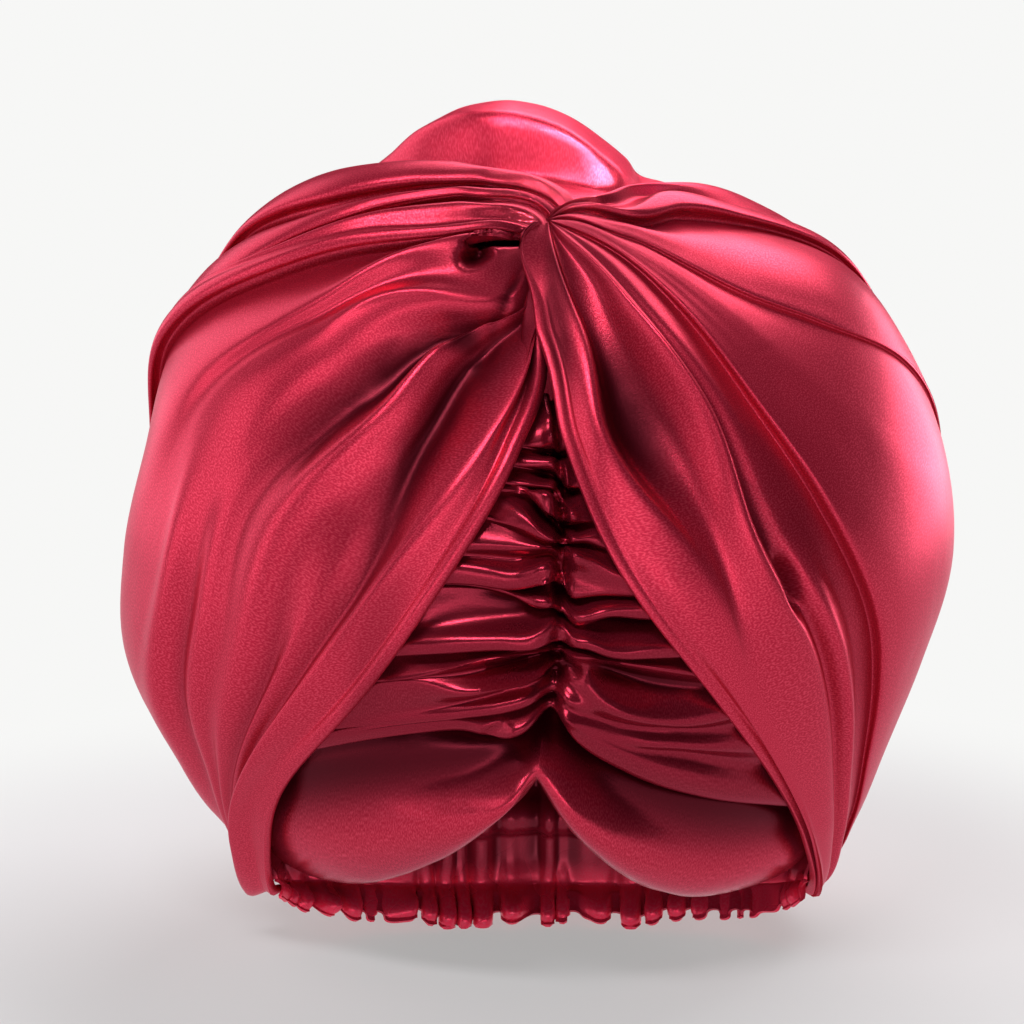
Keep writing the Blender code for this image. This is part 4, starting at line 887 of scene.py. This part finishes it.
def ruffle_sheet(wrinkles):
    """The ruffle below the stitch line and the gathered band that stands up inside the mouth.

    The ruffle's foot is a meander: a wave across the hem and one of twice its pace along it, which
    round the folds and pinch the gaps. Seeded noise shifts its phase and depth, so no two folds are
    alike. The band's gathers are a wave of half that pace, and a bell-shaped fold leans forward at
    its top.
    """
    fine_turn = np.linspace(-1.0, 1.0, 40 * RUFFLE_COUNT)
    steps = np.linalg.norm(np.diff(hem_line(fine_turn, 1.0), axis=0), axis=1)
    run = np.concatenate([[0.0], np.cumsum(steps)])
    share = np.linspace(0.0, 1.0, RUFFLE_COUNT * RUFFLE_STEPS + 1)[None, :]
    turn = np.interp(share, run / run[-1], fine_turn)
    drop = np.linspace(-1.0, 1.0, 2 * RUFFLE_ROWS)[:, None]
    below = np.maximum(drop, 0.0)
    above = np.maximum(-drop, 0.0)
    angle = turn * np.pi / 2
    forward = unit(np.stack([-np.sin(angle) * HEM_SAG / HEM_HALF_WIDTH, -np.cos(angle), 0.0 * turn], -1))
    drift, swing, length = (
        size * cloth_noise(share * RUFFLE_COUNT * pace, 0.0 * share, seed)
        for pace, size, seed in RUFFLE_NOISE
    )
    phase = (share * RUFFLE_COUNT + drift) * 2.0 * np.pi
    wave = np.sin(phase)
    at_ends = 1.0 - RUFFLE_END_LOSS * turn**4
    growth = smooth_step(below * RUFFLE_GROWTH) * (1.0 - RUFFLE_STITCHED_SHARE) + RUFFLE_STITCHED_SHARE
    growth = growth * at_ends
    at_foot = growth * smooth_step(below / RUFFLE_FOOT)
    in_band = smooth_step(above / BAND_START)
    even, uneven, pace = RUFFLE_PUFF_SHARES
    puff = (even + uneven * wave) * np.sin(np.pi * np.minimum(below * pace, 1.0)) * at_ends
    depth = (1.0 + swing) * (RUFFLE_DEPTH * wave * growth + RUFFLE_PUFF * puff) - BAND_LEAN * above
    depth = depth + BAND_GATHERS * np.sin(phase * 0.5 + 2.0 * drift) * in_band
    groove_depth, groove_at, groove_width = STITCH_GROOVE
    depth = depth - groove_depth * np.exp(-(((drop - groove_at) / groove_width) ** 2))
    place_up, half_height, half_width, fold_depth = BAND_FOLD
    depth = depth + fold_depth * np.exp(-(((above - place_up) / half_height) ** 4) - (turn / half_width) ** 2)
    line = hem_line(turn, below)
    curl = -RUFFLE_CURL * np.sin(2.0 * phase) * at_foot
    points = line + forward * depth[..., None] + unit(np.gradient(line, axis=1)) * curl[..., None]
    points[..., 2] += BAND_HEIGHT * above * (1.0 - BAND_END_LOSS * turn**2)
    points[..., 2] += RUFFLE_SCALLOP * (0.5 - 0.5 * wave + length) * at_foot
    along_cloth, down_cloth = np.broadcast_arrays(share * run[-1], below * HEM_HEIGHT - above * BAND_HEIGHT)
    points = points + forward * wrinkle_height("hem", along_cloth, down_cloth, wrinkles)[..., None]
    points[..., 2] = np.maximum(points[..., 2], 0.0)
    # Painted shade in the gaps between the folds and along the stitch line.
    in_gaps, at_stitches, stitch_reach = RUFFLE_SHADE
    painted_shade_mask = in_gaps * smooth_step(0.3 - wave) * growth
    painted_shade_mask = painted_shade_mask + at_stitches * (1.0 - smooth_step(below / stitch_reach)) * in_band
    return points, np.stack([along_cloth, down_cloth], -1), painted_shade_mask


# ---- crown ---------------------------------------------------------------------------------
def crown_edge_points():
    """The crown's edge as points about the body centre, a mark on those along the hem, and their turn.

    Between the sewn edge and the hem a few points cross each ear corner in a straight line.
    """
    keys = np.array(CROWN_EDGE)
    stations = np.linspace(0.0, 1.0, len(keys))
    at = np.linspace(CROWN_EDGE_TRIM, 1.0 - CROWN_EDGE_TRIM, CROWN_EDGE_SPOKES)
    towards = direction(smooth_curve(stations, keys[:, 0], at), smooth_curve(stations, keys[:, 1], at))
    sewn = towards * (body_radius(towards) - CROWN_TUCK)[:, None]
    turn = np.linspace(1.0, -1.0, CROWN_HEM_SPOKES + 2)[1:-1]
    hem = hem_line(turn * HEM_CROWN_SHARE, -HEM_CROWN_GAP) - np.array(BODY_CENTRE)
    share = np.linspace(0.0, 1.0, CROWN_CORNER_SPOKES + 2)[1:-1]
    right = sewn[-1] + (hem[0] - sewn[-1]) * share[:, None]
    left = hem[-1] + (sewn[0] - hem[-1]) * share[:, None]
    onto = smooth_step(share)
    on_hem = np.concatenate([np.zeros(len(sewn)), onto, np.ones(len(hem)), onto[::-1]])
    turns = np.concatenate([np.zeros(len(sewn)), np.ones(len(share)), turn, -np.ones(len(share))])
    return np.concatenate([sewn, right, hem, left]), on_hem, turns


def lobe_height(towards):
    """The puff behind the knot: a rise from the left, a steep fall on the right, dying away backwards."""
    points = towards * CHART_RADIUS
    table = np.array(LOBE_TABLE)
    across = smooth_curve(table[:, 0], table[:, 1], np.clip(points[..., 0], table[0, 0], table[-1, 0]))
    backwards = 1.0 - smooth_step(points[..., 1] / LOBE_BACK)
    above = smooth_step((points[..., 2] - LOBE_FOOT) / LOBE_RISE)
    return LOBE_HEIGHT * across * backwards * above


def gather_height(turns, to_edge):
    """Height of the gathers beside the nape hem, coarse and fine waves that noise makes uneven."""
    pace, size, seed = GATHER_DRIFT
    drift = size * cloth_noise(turns * pace, 0.0 * turns, seed)
    height = np.zeros_like(to_edge)
    for count, drifts, tall, reach in GATHERS:
        wave = np.cos((turns * count + drift * drifts) * np.pi)
        height = height + tall * wave * (1.0 - smooth_step(to_edge / reach))
    return height * (1.0 - turns**4)


def crown_sheet(wrinkles):
    """The crown's outer grid, its place on the flat cloth, and no darkness.

    Spokes run from a pole at the back and rings go about it. The radius is the puffed body's plus
    the lobe's, sunk where it runs under the drapes, and drawn onto the nape hem near it, with
    gathers that die away from the hem.
    """
    edge, on_hem, turns = crown_edge_points()
    edge_direction = unit(edge)
    pole = direction(*CROWN_POLE)
    along_pole = edge_direction @ pole
    opening = np.arccos(np.clip(along_pole, -1.0, 1.0))
    sideways = unit(edge_direction - along_pole[:, None] * pole)
    rim_width = TUCK_WIDTH + TUCK_RISE
    to_rim = opening * CHART_RADIUS - rim_width
    inner_rings = np.linspace(1.0, 0.0, CROWN_RINGS, endpoint=False)[:, None] * to_rim + rim_width
    rim = np.linspace(rim_width, 0.0, CROWN_RIM_RINGS)[:, None]
    to_edge = np.concatenate([inner_rings, np.broadcast_to(rim, (CROWN_RIM_RINGS, len(opening)))])
    angle = opening - to_edge / CHART_RADIUS
    towards = np.cos(angle)[..., None] * pole + np.sin(angle)[..., None] * sideways
    nearest = np.max(towards @ edge_direction[on_hem < 0.5].T, axis=-1)
    to_seam = np.arccos(np.clip(nearest, -1.0, 1.0)) * CHART_RADIUS
    risen = smooth_step((to_seam - TUCK_WIDTH) / TUCK_RISE)
    radius = body_radius(towards) + lobe_height(towards) * risen - CROWN_TUCK * (1.0 - risen)
    lifted = (np.linalg.norm(edge, axis=-1) - radius[-1]) * on_hem
    radius = radius + lifted * (1.0 - smooth_step(to_edge / HEM_LIFT_REACH))
    gathers = gather_height(turns, to_edge) * on_hem
    across = np.cross(pole, [0.0, 0.0, 1.0])
    run = sideways @ np.stack([across, np.cross(pole, across)]).T
    spread = run * (angle * CHART_RADIUS)[..., None]
    calm = wrinkles * risen * smooth_step(angle / POLE_CALM)
    folds = wrinkle_height("crown", spread[..., 0], spread[..., 1], calm)
    outer = place(towards, radius + gathers * smooth_step(to_edge / TUCK_WIDTH) + folds)
    return outer, spread, 0.0 * radius


# ---- finishes ------------------------------------------------------------------------------
def new_group(name, inputs, outputs):
    """An empty shader node group, the sockets that start it and the ones that end it.

    The default of an input tells its kind: a number, a colour, or nothing for a vector.
    """
    group = bpy.data.node_groups.new(name, "ShaderNodeTree")
    for label, value in inputs.items():
        kind = {float: "NodeSocketFloat", tuple: "NodeSocketColor"}.get(type(value), "NodeSocketVector")
        socket = group.interface.new_socket(name=label, in_out="INPUT", socket_type=kind)
        if value is not None:
            socket.default_value = value
    for label, kind in outputs.items():
        group.interface.new_socket(name=label, in_out="OUTPUT", socket_type=kind)
    return group, group.nodes.new("NodeGroupInput").outputs, group.nodes.new("NodeGroupOutput").inputs


def connect(tree, value, socket):
    """Links another socket to this one, or sets a plain value on it."""
    if isinstance(value, bpy.types.NodeSocket):
        tree.links.new(value, socket)
    else:
        socket.default_value = value


def add_node(tree, kind, sockets, **settings):
    """A shader node with these settings. Each of the sockets gets another socket or a plain value."""
    node = tree.nodes.new("ShaderNode" + kind)
    for key, value in settings.items():
        setattr(node, key, value)
    for label, value in sockets.items():
        connect(tree, value, node.inputs[label])
    return node


def math_node(tree, operation, first, second):
    """Result of a math node of this operation. Each side is a socket or a plain number."""
    return add_node(tree, "Math", {0: first, 1: second}, operation=operation).outputs[0]


def noise_node(tree, vector, scale, detail, roughness, distortion=0.0):
    """Smooth noise at this place, from 0 to 1."""
    sockets = {"Vector": vector, "Scale": scale, "Detail": detail, "Roughness": roughness}
    return add_node(tree, "TexNoise", {**sockets, "Distortion": distortion}).outputs["Fac"]


def stretch_node(tree, vector, stretch):
    """The vector with each of its numbers multiplied by that of the stretch."""
    return add_node(tree, "VectorMath", {0: vector, 1: stretch}, operation="MULTIPLY").outputs[0]


def mix_node(tree, share, first, second):
    """The first colour with this share of the second one in it."""
    sockets = {"Factor": share, "A": first, "B": second}
    return add_node(tree, "Mix", sockets, data_type="RGBA").outputs["Result"]


def place_group(tree, name, sockets):
    """Output sockets of a shared group placed in this tree."""
    return add_node(tree, "Group", sockets, node_tree=bpy.data.node_groups[name]).outputs


def satin_weave_group():
    """Weave of satin: floating threads a little longer than wide, standing unevenly proud.

    Cloth place is in metres. Height carries the threads and a faint slub along them. Glint is a mask
    of the threads that catch the light.
    """
    group, start, end = new_group(
        "satin_weave",
        {"Cloth place": None, "Threads": 1500.0},
        {"Height": "NodeSocketFloat", "Glint": "NodeSocketFloat"},
    )
    thread_place = stretch_node(group, start["Cloth place"], THREAD_STRETCH)
    threads = noise_node(group, thread_place, start["Threads"], 1.0, 0.4)
    slub_place = stretch_node(group, start["Cloth place"], SLUB_STRETCH)
    slub = noise_node(group, slub_place, math_node(group, "MULTIPLY", start["Threads"], SLUB_PACE), 2.0, 0.5)
    height = math_node(group, "ADD", threads, math_node(group, "MULTIPLY", slub, SLUB_HEIGHT))
    glint = add_node(group, "MapRange", {"Value": threads, "From Min": GLINT_FROM, "From Max": GLINT_TO})
    connect(group, height, end["Height"])
    connect(group, glint.outputs["Result"], end["Glint"])


def dye_tone_group():
    """Colour of dyed satin: a slow drift between two tones, a third on proud threads as weave grain with a painted
    glint, a fourth as painted shade in folds.
    """
    group, start, end = new_group(
        "dye_tone",
        {
            "Place": None,
            "Dye": (0.4, 0.02, 0.05, 1.0),
            "Deep dye": (0.2, 0.01, 0.02, 1.0),
            "Grain and glint tone": (0.6, 0.06, 0.1, 1.0),
            "Glint": 0.0,
            "Grain and glint share": 0.2,
            "Drift size": 22.0,
            "Painted shade tone": (0.06, 0.001, 0.005, 1.0),
            "Painted shade": 0.0,
        },
        {"Color": "NodeSocketColor"},
    )
    drift = noise_node(group, start["Place"], start["Drift size"], 3.0, 0.55)
    tone = mix_node(group, math_node(group, "MULTIPLY", drift, DRIFT_SHARE), start["Dye"], start["Deep dye"])
    glint = math_node(group, "MULTIPLY", start["Glint"], start["Grain and glint share"])
    tone = mix_node(group, glint, tone, start["Grain and glint tone"])
    connect(group, mix_node(group, start["Painted shade"], tone, start["Painted shade tone"]), end["Color"])


def soft_crumple_group():
    """Shallow crumples of handled satin: slow noise, bent by a slower one."""
    sockets = {"Place": None, "Size": 60.0}
    group, start, end = new_group("soft_crumple", sockets, {"Height": "NodeSocketFloat"})
    connect(group, noise_node(group, start["Place"], start["Size"], 2.0, 0.45, 0.8), end["Height"])


def satin_material(name, finish, painted_shading, gloss, tinted=1.0):
    """Crimson satin: dye tones, weave and crumples from the shared groups, shine on the shader itself."""
    material = bpy.data.materials.new(name)
    material.use_nodes = True
    tree = material.node_tree
    cloth = add_node(tree, "UVMap", {}, uv_map="cloth").outputs["UV"]
    # The attribute "fold" is the painted shade: it darkens the dye to the painted shade tone and takes the white coat
    # out.
    fold = add_node(tree, "Attribute", {}, attribute_name="fold").outputs["Fac"]
    where = add_node(tree, "TexCoord", {}).outputs["Object"]
    weave = place_group(tree, "satin_weave", {"Cloth place": cloth, "Threads": finish.threads})
    crumple = place_group(tree, "soft_crumple", {"Place": where, "Size": CRUMPLE_SIZE})["Height"]
    tones = {
        "Place": where,
        # The dye is scaled for each piece: painted light where the factor is above 1, painted shade below.
        "Dye": (*[c * painted_shading for c in finish.dye], 1.0),
        "Deep dye": (*[c * painted_shading for c in finish.deep_dye], 1.0),
        # Painted glint on the proud threads of the weave.
        "Grain and glint tone": (*finish.grain_and_glint_tone, 1.0),
        "Glint": weave["Glint"],
        "Grain and glint share": finish.grain_and_glint_share,
        "Painted shade tone": (*finish.painted_shade_tone, 1.0),
        "Painted shade": fold,
    }
    grain = {"Strength": finish.weave_strength, "Distance": WEAVE_RELIEF, "Height": weave["Height"]}
    grain = add_node(tree, "Bump", grain).outputs["Normal"]
    soft = {"Strength": finish.crumple_strength, "Distance": CRUMPLE_RELIEF, "Height": crumple}
    rough = finish.roughness - gloss
    rough = {"Value": crumple, "To Min": rough - CRUMPLE_GLOSS[0], "To Max": rough + CRUMPLE_GLOSS[1]}
    outside_painted_shade = math_node(tree, "SUBTRACT", 1.0, fold)
    shine = {
        "Base Color": place_group(tree, "dye_tone", tones)["Color"],
        "Normal": add_node(tree, "Bump", {**soft, "Normal": grain}).outputs["Normal"],
        "Roughness": add_node(tree, "MapRange", rough).outputs["Result"],
        "Metallic": finish.metallic * tinted,
        "IOR": 1.45,
        "Specular Tint": (1.0, 0.45, 0.58, 1.0),
        "Coat Weight": math_node(tree, "MULTIPLY", outside_painted_shade, finish.gloss),
        "Coat Roughness": 0.36,
    }
    for label, value in shine.items():
        connect(tree, value, tree.nodes["Principled BSDF"].inputs[label])


# ---- settings ------------------------------------------------------------------------------
class BonnetCloth(bpy.types.PropertyGroup):
    """Sizes of the satin that every sheet shares."""

    cloth_wall: bpy.props.FloatProperty(
        name="Cloth wall",
        description="Thickness of the drapes, the panel and the hem, in millimetres",
        default=1.0,
        min=0.4,
        max=1.9,
    )
    crown_wall: bpy.props.FloatProperty(
        name="Crown wall",
        description="Thickness of the lined crown, in millimetres",
        default=1.4,
        min=0.8,
        max=2.6,
    )
    wrinkles: bpy.props.FloatProperty(
        name="Wrinkles",
        description="Share of the wrinkles' full height, 0 for pressed satin",
        default=1.0,
        min=0.0,
        max=1.5,
        subtype="FACTOR",
    )


class BonnetFinish(bpy.types.PropertyGroup):
    """Colour and shine of the satin."""

    dye: bpy.props.FloatVectorProperty(
        name="Dye",
        description="Main colour of the satin",
        default=(0.48, 0.012, 0.042),
        subtype="COLOR",
        **SHARE,
    )
    deep_dye: bpy.props.FloatVectorProperty(
        name="Deep dye",
        description="Darker tone that it drifts to",
        default=(0.36, 0.007, 0.029),
        subtype="COLOR",
        **SHARE,
    )
    # Weave grain with a painted glint: the paler tone of the proud threads.
    grain_and_glint_tone: bpy.props.FloatVectorProperty(
        name="Grain and glint tone",
        description="Tone of proud threads",
        default=(0.68, 0.050, 0.098),
        subtype="COLOR",
        **SHARE,
    )
    # Painted shade: the tone that the dye darkens to in folds.
    painted_shade_tone: bpy.props.FloatVectorProperty(
        name="Painted shade tone",
        description="Tone at the bottom of folds",
        default=(0.06, 0.001, 0.005),
        subtype="COLOR",
        **SHARE,
    )
    # How much of the painted glint the proud threads get.
    grain_and_glint_share: bpy.props.FloatProperty(
        name="Grain and glint share",
        description="How much the paler threads show",
        default=0.8,
        subtype="FACTOR",
        **SHARE,
    )
    threads: bpy.props.FloatProperty(
        name="Threads",
        description="Floating threads in a metre of cloth",
        default=2500.0,
        min=300.0,
        max=4000.0,
    )
    roughness: bpy.props.FloatProperty(
        name="Roughness",
        description="Spread of the satin's shine",
        default=0.35,
        min=0.1,
        max=0.9,
        subtype="FACTOR",
    )
    metallic: bpy.props.FloatProperty(
        name="Tinted shine",
        description="Share of the shine in the dye's colour",
        default=0.70,
        subtype="FACTOR",
        **SHARE,
    )
    gloss: bpy.props.FloatProperty(
        name="Gloss",
        description="Share of white shine over the tinted one",
        default=0.10,
        subtype="FACTOR",
        **SHARE,
    )
    weave_strength: bpy.props.FloatProperty(
        name="Weave",
        description="How strongly the threads stand out",
        default=0.9,
        subtype="FACTOR",
        **SHARE,
    )
    crumple_strength: bpy.props.FloatProperty(
        name="Crumples",
        description="How strongly the shallow crumples show",
        default=0.25,
        subtype="FACTOR",
        **SHARE,
    )


class BonnetStage(bpy.types.PropertyGroup):
    """Floor, lights and camera."""

    floor_tone: bpy.props.FloatVectorProperty(
        name="Floor",
        description="Colour of the floor",
        default=(0.48, 0.47, 0.49),
        subtype="COLOR",
        **SHARE,
    )
    room_light: bpy.props.FloatProperty(
        name="Room light",
        description="Strength of the even light from all round",
        default=0.8,
        min=0.0,
        max=3.0,
    )
    lens: bpy.props.FloatProperty(
        name="Lens",
        description="Focal length of the camera, in millimetres",
        default=117.2,
        min=20.0,
        max=300.0,
        unit="CAMERA",
    )


# ---- operators -----------------------------------------------------------------------------
class BONNET_OT_finishes(bpy.types.Operator):
    """Makes the satin's node groups and the four satin materials"""

    bl_idname = "bonnet.finishes"
    bl_label = "Satin finishes"

    def execute(self, context):
        finish = context.scene.bonnet_finish
        satin_weave_group()
        dye_tone_group()
        soft_crumple_group()
        # The third number scales each piece's dye: painted light on the crown and the hem, painted shade on the
        # panel.
        satin_material("crown_finish", finish, 1.2, -0.03)
        satin_material("drape_finish", finish, 1.0, 0.0)
        satin_material("panel_finish", finish, 0.95, 0.11)
        satin_material("hem_finish", finish, 1.6, 0.08, 0.55)
        return {"FINISHED"}


class BONNET_OT_crown(bpy.types.Operator):
    """Makes the puffed crown with its lobe and nape gathers"""

    bl_idname = "bonnet.crown"
    bl_label = "Crown"

    def execute(self, context):
        cloth = context.scene.bonnet_cloth
        add_piece("crown", crown_sheet(cloth.wrinkles), cloth.crown_wall, "crown", ring=True)
        return {"FINISHED"}


class BONNET_OT_drapes(bpy.types.Operator):
    """Makes the two pleated drapes that twist round each other at the knot"""

    bl_idname = "bonnet.drapes"
    bl_label = "Drapes"

    def execute(self, context):
        cloth = context.scene.bonnet_cloth
        for side in DRAPES:
            add_piece("drape_" + side, drape_sheet(side, cloth.wrinkles), cloth.cloth_wall, "drape")
        return {"FINISHED"}


class BONNET_OT_ruched_panel(bpy.types.Operator):
    """Makes the ruched front panel with its gathered seam and swags"""

    bl_idname = "bonnet.ruched_panel"
    bl_label = "Ruched panel"

    def execute(self, context):
        cloth = context.scene.bonnet_cloth
        add_piece("ruched_panel", panel_sheet(cloth.wrinkles), cloth.cloth_wall, "panel")
        return {"FINISHED"}


class BONNET_OT_nape_hem(bpy.types.Operator):
    """Makes the elastic casing and ruffle along the nape"""

    bl_idname = "bonnet.nape_hem"
    bl_label = "Nape hem"

    def execute(self, context):
        cloth = context.scene.bonnet_cloth
        add_piece("nape_hem", ruffle_sheet(cloth.wrinkles), cloth.cloth_wall, "hem")
        return {"FINISHED"}


class BONNET_OT_stage(bpy.types.Operator):
    """Makes the pale floor, the soft lights and the camera"""

    bl_idname = "bonnet.stage"
    bl_label = "Stage"

    def execute(self, context):
        stage = context.scene.bonnet_stage
        angle = np.linspace(0.0, 2 * np.pi, FLOOR_SIDES, endpoint=False)
        rim = np.stack([np.cos(angle), np.sin(angle), 0.0 * angle], -1) * FLOOR_RADIUS
        rim[:, 2] = -FLOOR_GAP
        mesh = bpy.data.meshes.new("floor")
        mesh.from_pydata(rim.tolist(), [], [list(range(FLOOR_SIDES))])
        mesh.materials.append(floor_material(stage.floor_tone))
        floor = bpy.data.objects.new("floor", mesh)
        context.scene.collection.objects.link(floor)
        set_room(stage.room_light)
        context.scene.view_settings.view_transform = "Standard"
        for softbox in SOFTBOXES:
            add_softbox(*softbox)
        add_camera(stage.lens)
        return {"FINISHED"}


# ---- floor, lights and camera -------------------------------------------------------------
def add_softbox(name, at, aim, size, power, colour, spread):
    """An area light of this size in metres, at one point and facing another."""
    light = bpy.data.lights.new(name, "AREA")
    light.shape = "RECTANGLE"
    light.size, light.size_y = size
    light.energy = power
    light.color = colour
    light.spread = np.radians(spread)
    box = bpy.data.objects.new(name, light)
    box.location = at
    towards = unit(np.array(aim) - np.array(at))
    pitch = np.arccos(np.clip(-towards[2], -1.0, 1.0))
    box.rotation_euler = (pitch, 0.0, np.arctan2(towards[1], towards[0]) - np.pi / 2)
    box.visible_camera = False
    bpy.context.scene.collection.objects.link(box)


def show_backdrop(tree, kind, share, own, surface):
    """Puts the backdrop's tone over what the tree shows by itself, by this share."""
    backdrop = add_node(tree, kind, {"Color": (*BACKDROP_TONE, 1.0)}).outputs[0]
    blend = add_node(tree, "MixShader", {"Fac": share, 1: own, 2: backdrop})
    connect(tree, blend.outputs["Shader"], surface)


def floor_material(tone):
    """Pale matt floor. To the camera alone its far part is also lit up to the tone of the backdrop."""
    material = bpy.data.materials.new("pale_floor")
    material.use_nodes = True
    tree = material.node_tree
    shader = tree.nodes["Principled BSDF"]
    for label, value in {"Base Color": (*tone, 1.0), "Roughness": 0.8, "Specular IOR Level": 0.2}.items():
        connect(tree, value, shader.inputs[label])
    where = add_node(tree, "TexCoord", {}).outputs["Object"]
    distance = add_node(tree, "VectorMath", {0: where}, operation="LENGTH").outputs["Value"]
    glow = {"Value": distance, "From Min": FLOOR_GLOW_FROM, "From Max": FLOOR_GLOW_TO, "To Min": FLOOR_GLOW}
    glow = add_node(tree, "MapRange", glow, interpolation_type="SMOOTHSTEP").outputs["Result"]
    seen = add_node(tree, "LightPath", {}).outputs["Is Camera Ray"]
    unseen = math_node(tree, "MULTIPLY", math_node(tree, "SUBTRACT", 1.0, seen), FLOOR_GLOW_UNSEEN)
    share = math_node(tree, "MAXIMUM", math_node(tree, "MULTIPLY", glow, seen), unseen)
    share = math_node(tree, "MAXIMUM", share, FLOOR_GLOW)
    surface = tree.nodes["Material Output"].inputs["Surface"]
    show_backdrop(tree, "Emission", share, shader.outputs["BSDF"], surface)
    return material


def set_room(strength):
    """The room's even light: dark before the bonnet and bright above and behind it.

    The camera itself sees a plain pale backdrop all round.
    """
    world = bpy.data.worlds.new("room")
    world.use_nodes = True
    tree = world.node_tree
    room = tree.nodes["Background"]
    where = add_node(tree, "TexCoord", {}).outputs["Generated"]
    facing = add_node(tree, "VectorMath", {0: where, 1: ROOM_BRIGHT}, operation="DOT_PRODUCT")
    rise = {"Value": facing.outputs["Value"], "From Min": ROOM_SPREAD[0], "From Max": ROOM_SPREAD[1]}
    rise = {**rise, "To Min": ROOM_DARK, "To Max": strength}
    rise = add_node(tree, "MapRange", rise, interpolation_type="SMOOTHSTEP").outputs["Result"]
    connect(tree, rise, room.inputs["Strength"])
    seen = add_node(tree, "LightPath", {}).outputs["Is Camera Ray"]
    surface = tree.nodes["World Output"].inputs["Surface"]
    show_backdrop(tree, "Background", seen, room.outputs["Background"], surface)
    bpy.context.scene.world = world


def add_camera(lens):
    """The camera looks down at 10 degrees from the front, a metre from the body centre."""
    tilt = np.radians(CAMERA_DROP)
    right, up = CAMERA_OFF_CENTRE
    aim = np.array([right, np.cos(tilt) + up * np.sin(tilt), up * np.cos(tilt) - np.sin(tilt)])
    data = bpy.data.cameras.new("camera")
    data.lens = lens
    data.sensor_width = 36.0
    data.clip_end = 100.0
    camera = bpy.data.objects.new("camera", data)
    camera.location = np.array(BODY_CENTRE) * MM - CAMERA_DISTANCE * aim
    camera.rotation_euler = (np.pi / 2 - tilt, 0.0, 0.0)
    bpy.context.scene.collection.objects.link(camera)
    bpy.context.scene.camera = camera


class BONNET_PT_sidebar(bpy.types.Panel):
    """Lists the bonnet's settings and the buttons that make its pieces"""

    bl_label = "Satin bonnet"
    bl_idname = "BONNET_PT_sidebar"
    bl_space_type = "VIEW_3D"
    bl_region_type = "UI"
    bl_category = "Bonnet"

    def draw(self, context):
        for settings in (context.scene.bonnet_cloth, context.scene.bonnet_finish, context.scene.bonnet_stage):
            for key in settings.bl_rna.properties.keys():
                if key not in ("rna_type", "name"):
                    self.layout.prop(settings, key)
        for operator in OPERATORS:
            self.layout.operator(operator.bl_idname)


OPERATORS = (
    BONNET_OT_finishes,
    BONNET_OT_crown,
    BONNET_OT_drapes,
    BONNET_OT_ruched_panel,
    BONNET_OT_nape_hem,
    BONNET_OT_stage,
)
SETTINGS = {"bonnet_cloth": BonnetCloth, "bonnet_finish": BonnetFinish, "bonnet_stage": BonnetStage}


def register():
    for settings in SETTINGS.values():
        bpy.utils.register_class(settings)
    for operator in OPERATORS:
        bpy.utils.register_class(operator)
    bpy.utils.register_class(BONNET_PT_sidebar)
    for key, settings in SETTINGS.items():
        setattr(bpy.types.Scene, key, bpy.props.PointerProperty(type=settings))


def unregister():
    for key in SETTINGS:
        delattr(bpy.types.Scene, key)
    bpy.utils.unregister_class(BONNET_PT_sidebar)
    for operator in reversed(OPERATORS):
        bpy.utils.unregister_class(operator)
    for settings in reversed(list(SETTINGS.values())):
        bpy.utils.unregister_class(settings)


def main():
    register()
    bpy.ops.bonnet.finishes()
    bpy.ops.bonnet.crown()
    bpy.ops.bonnet.drapes()
    bpy.ops.bonnet.ruched_panel()
    bpy.ops.bonnet.nape_hem()
    bpy.ops.bonnet.stage()


if __name__ == "__main__":
    main()
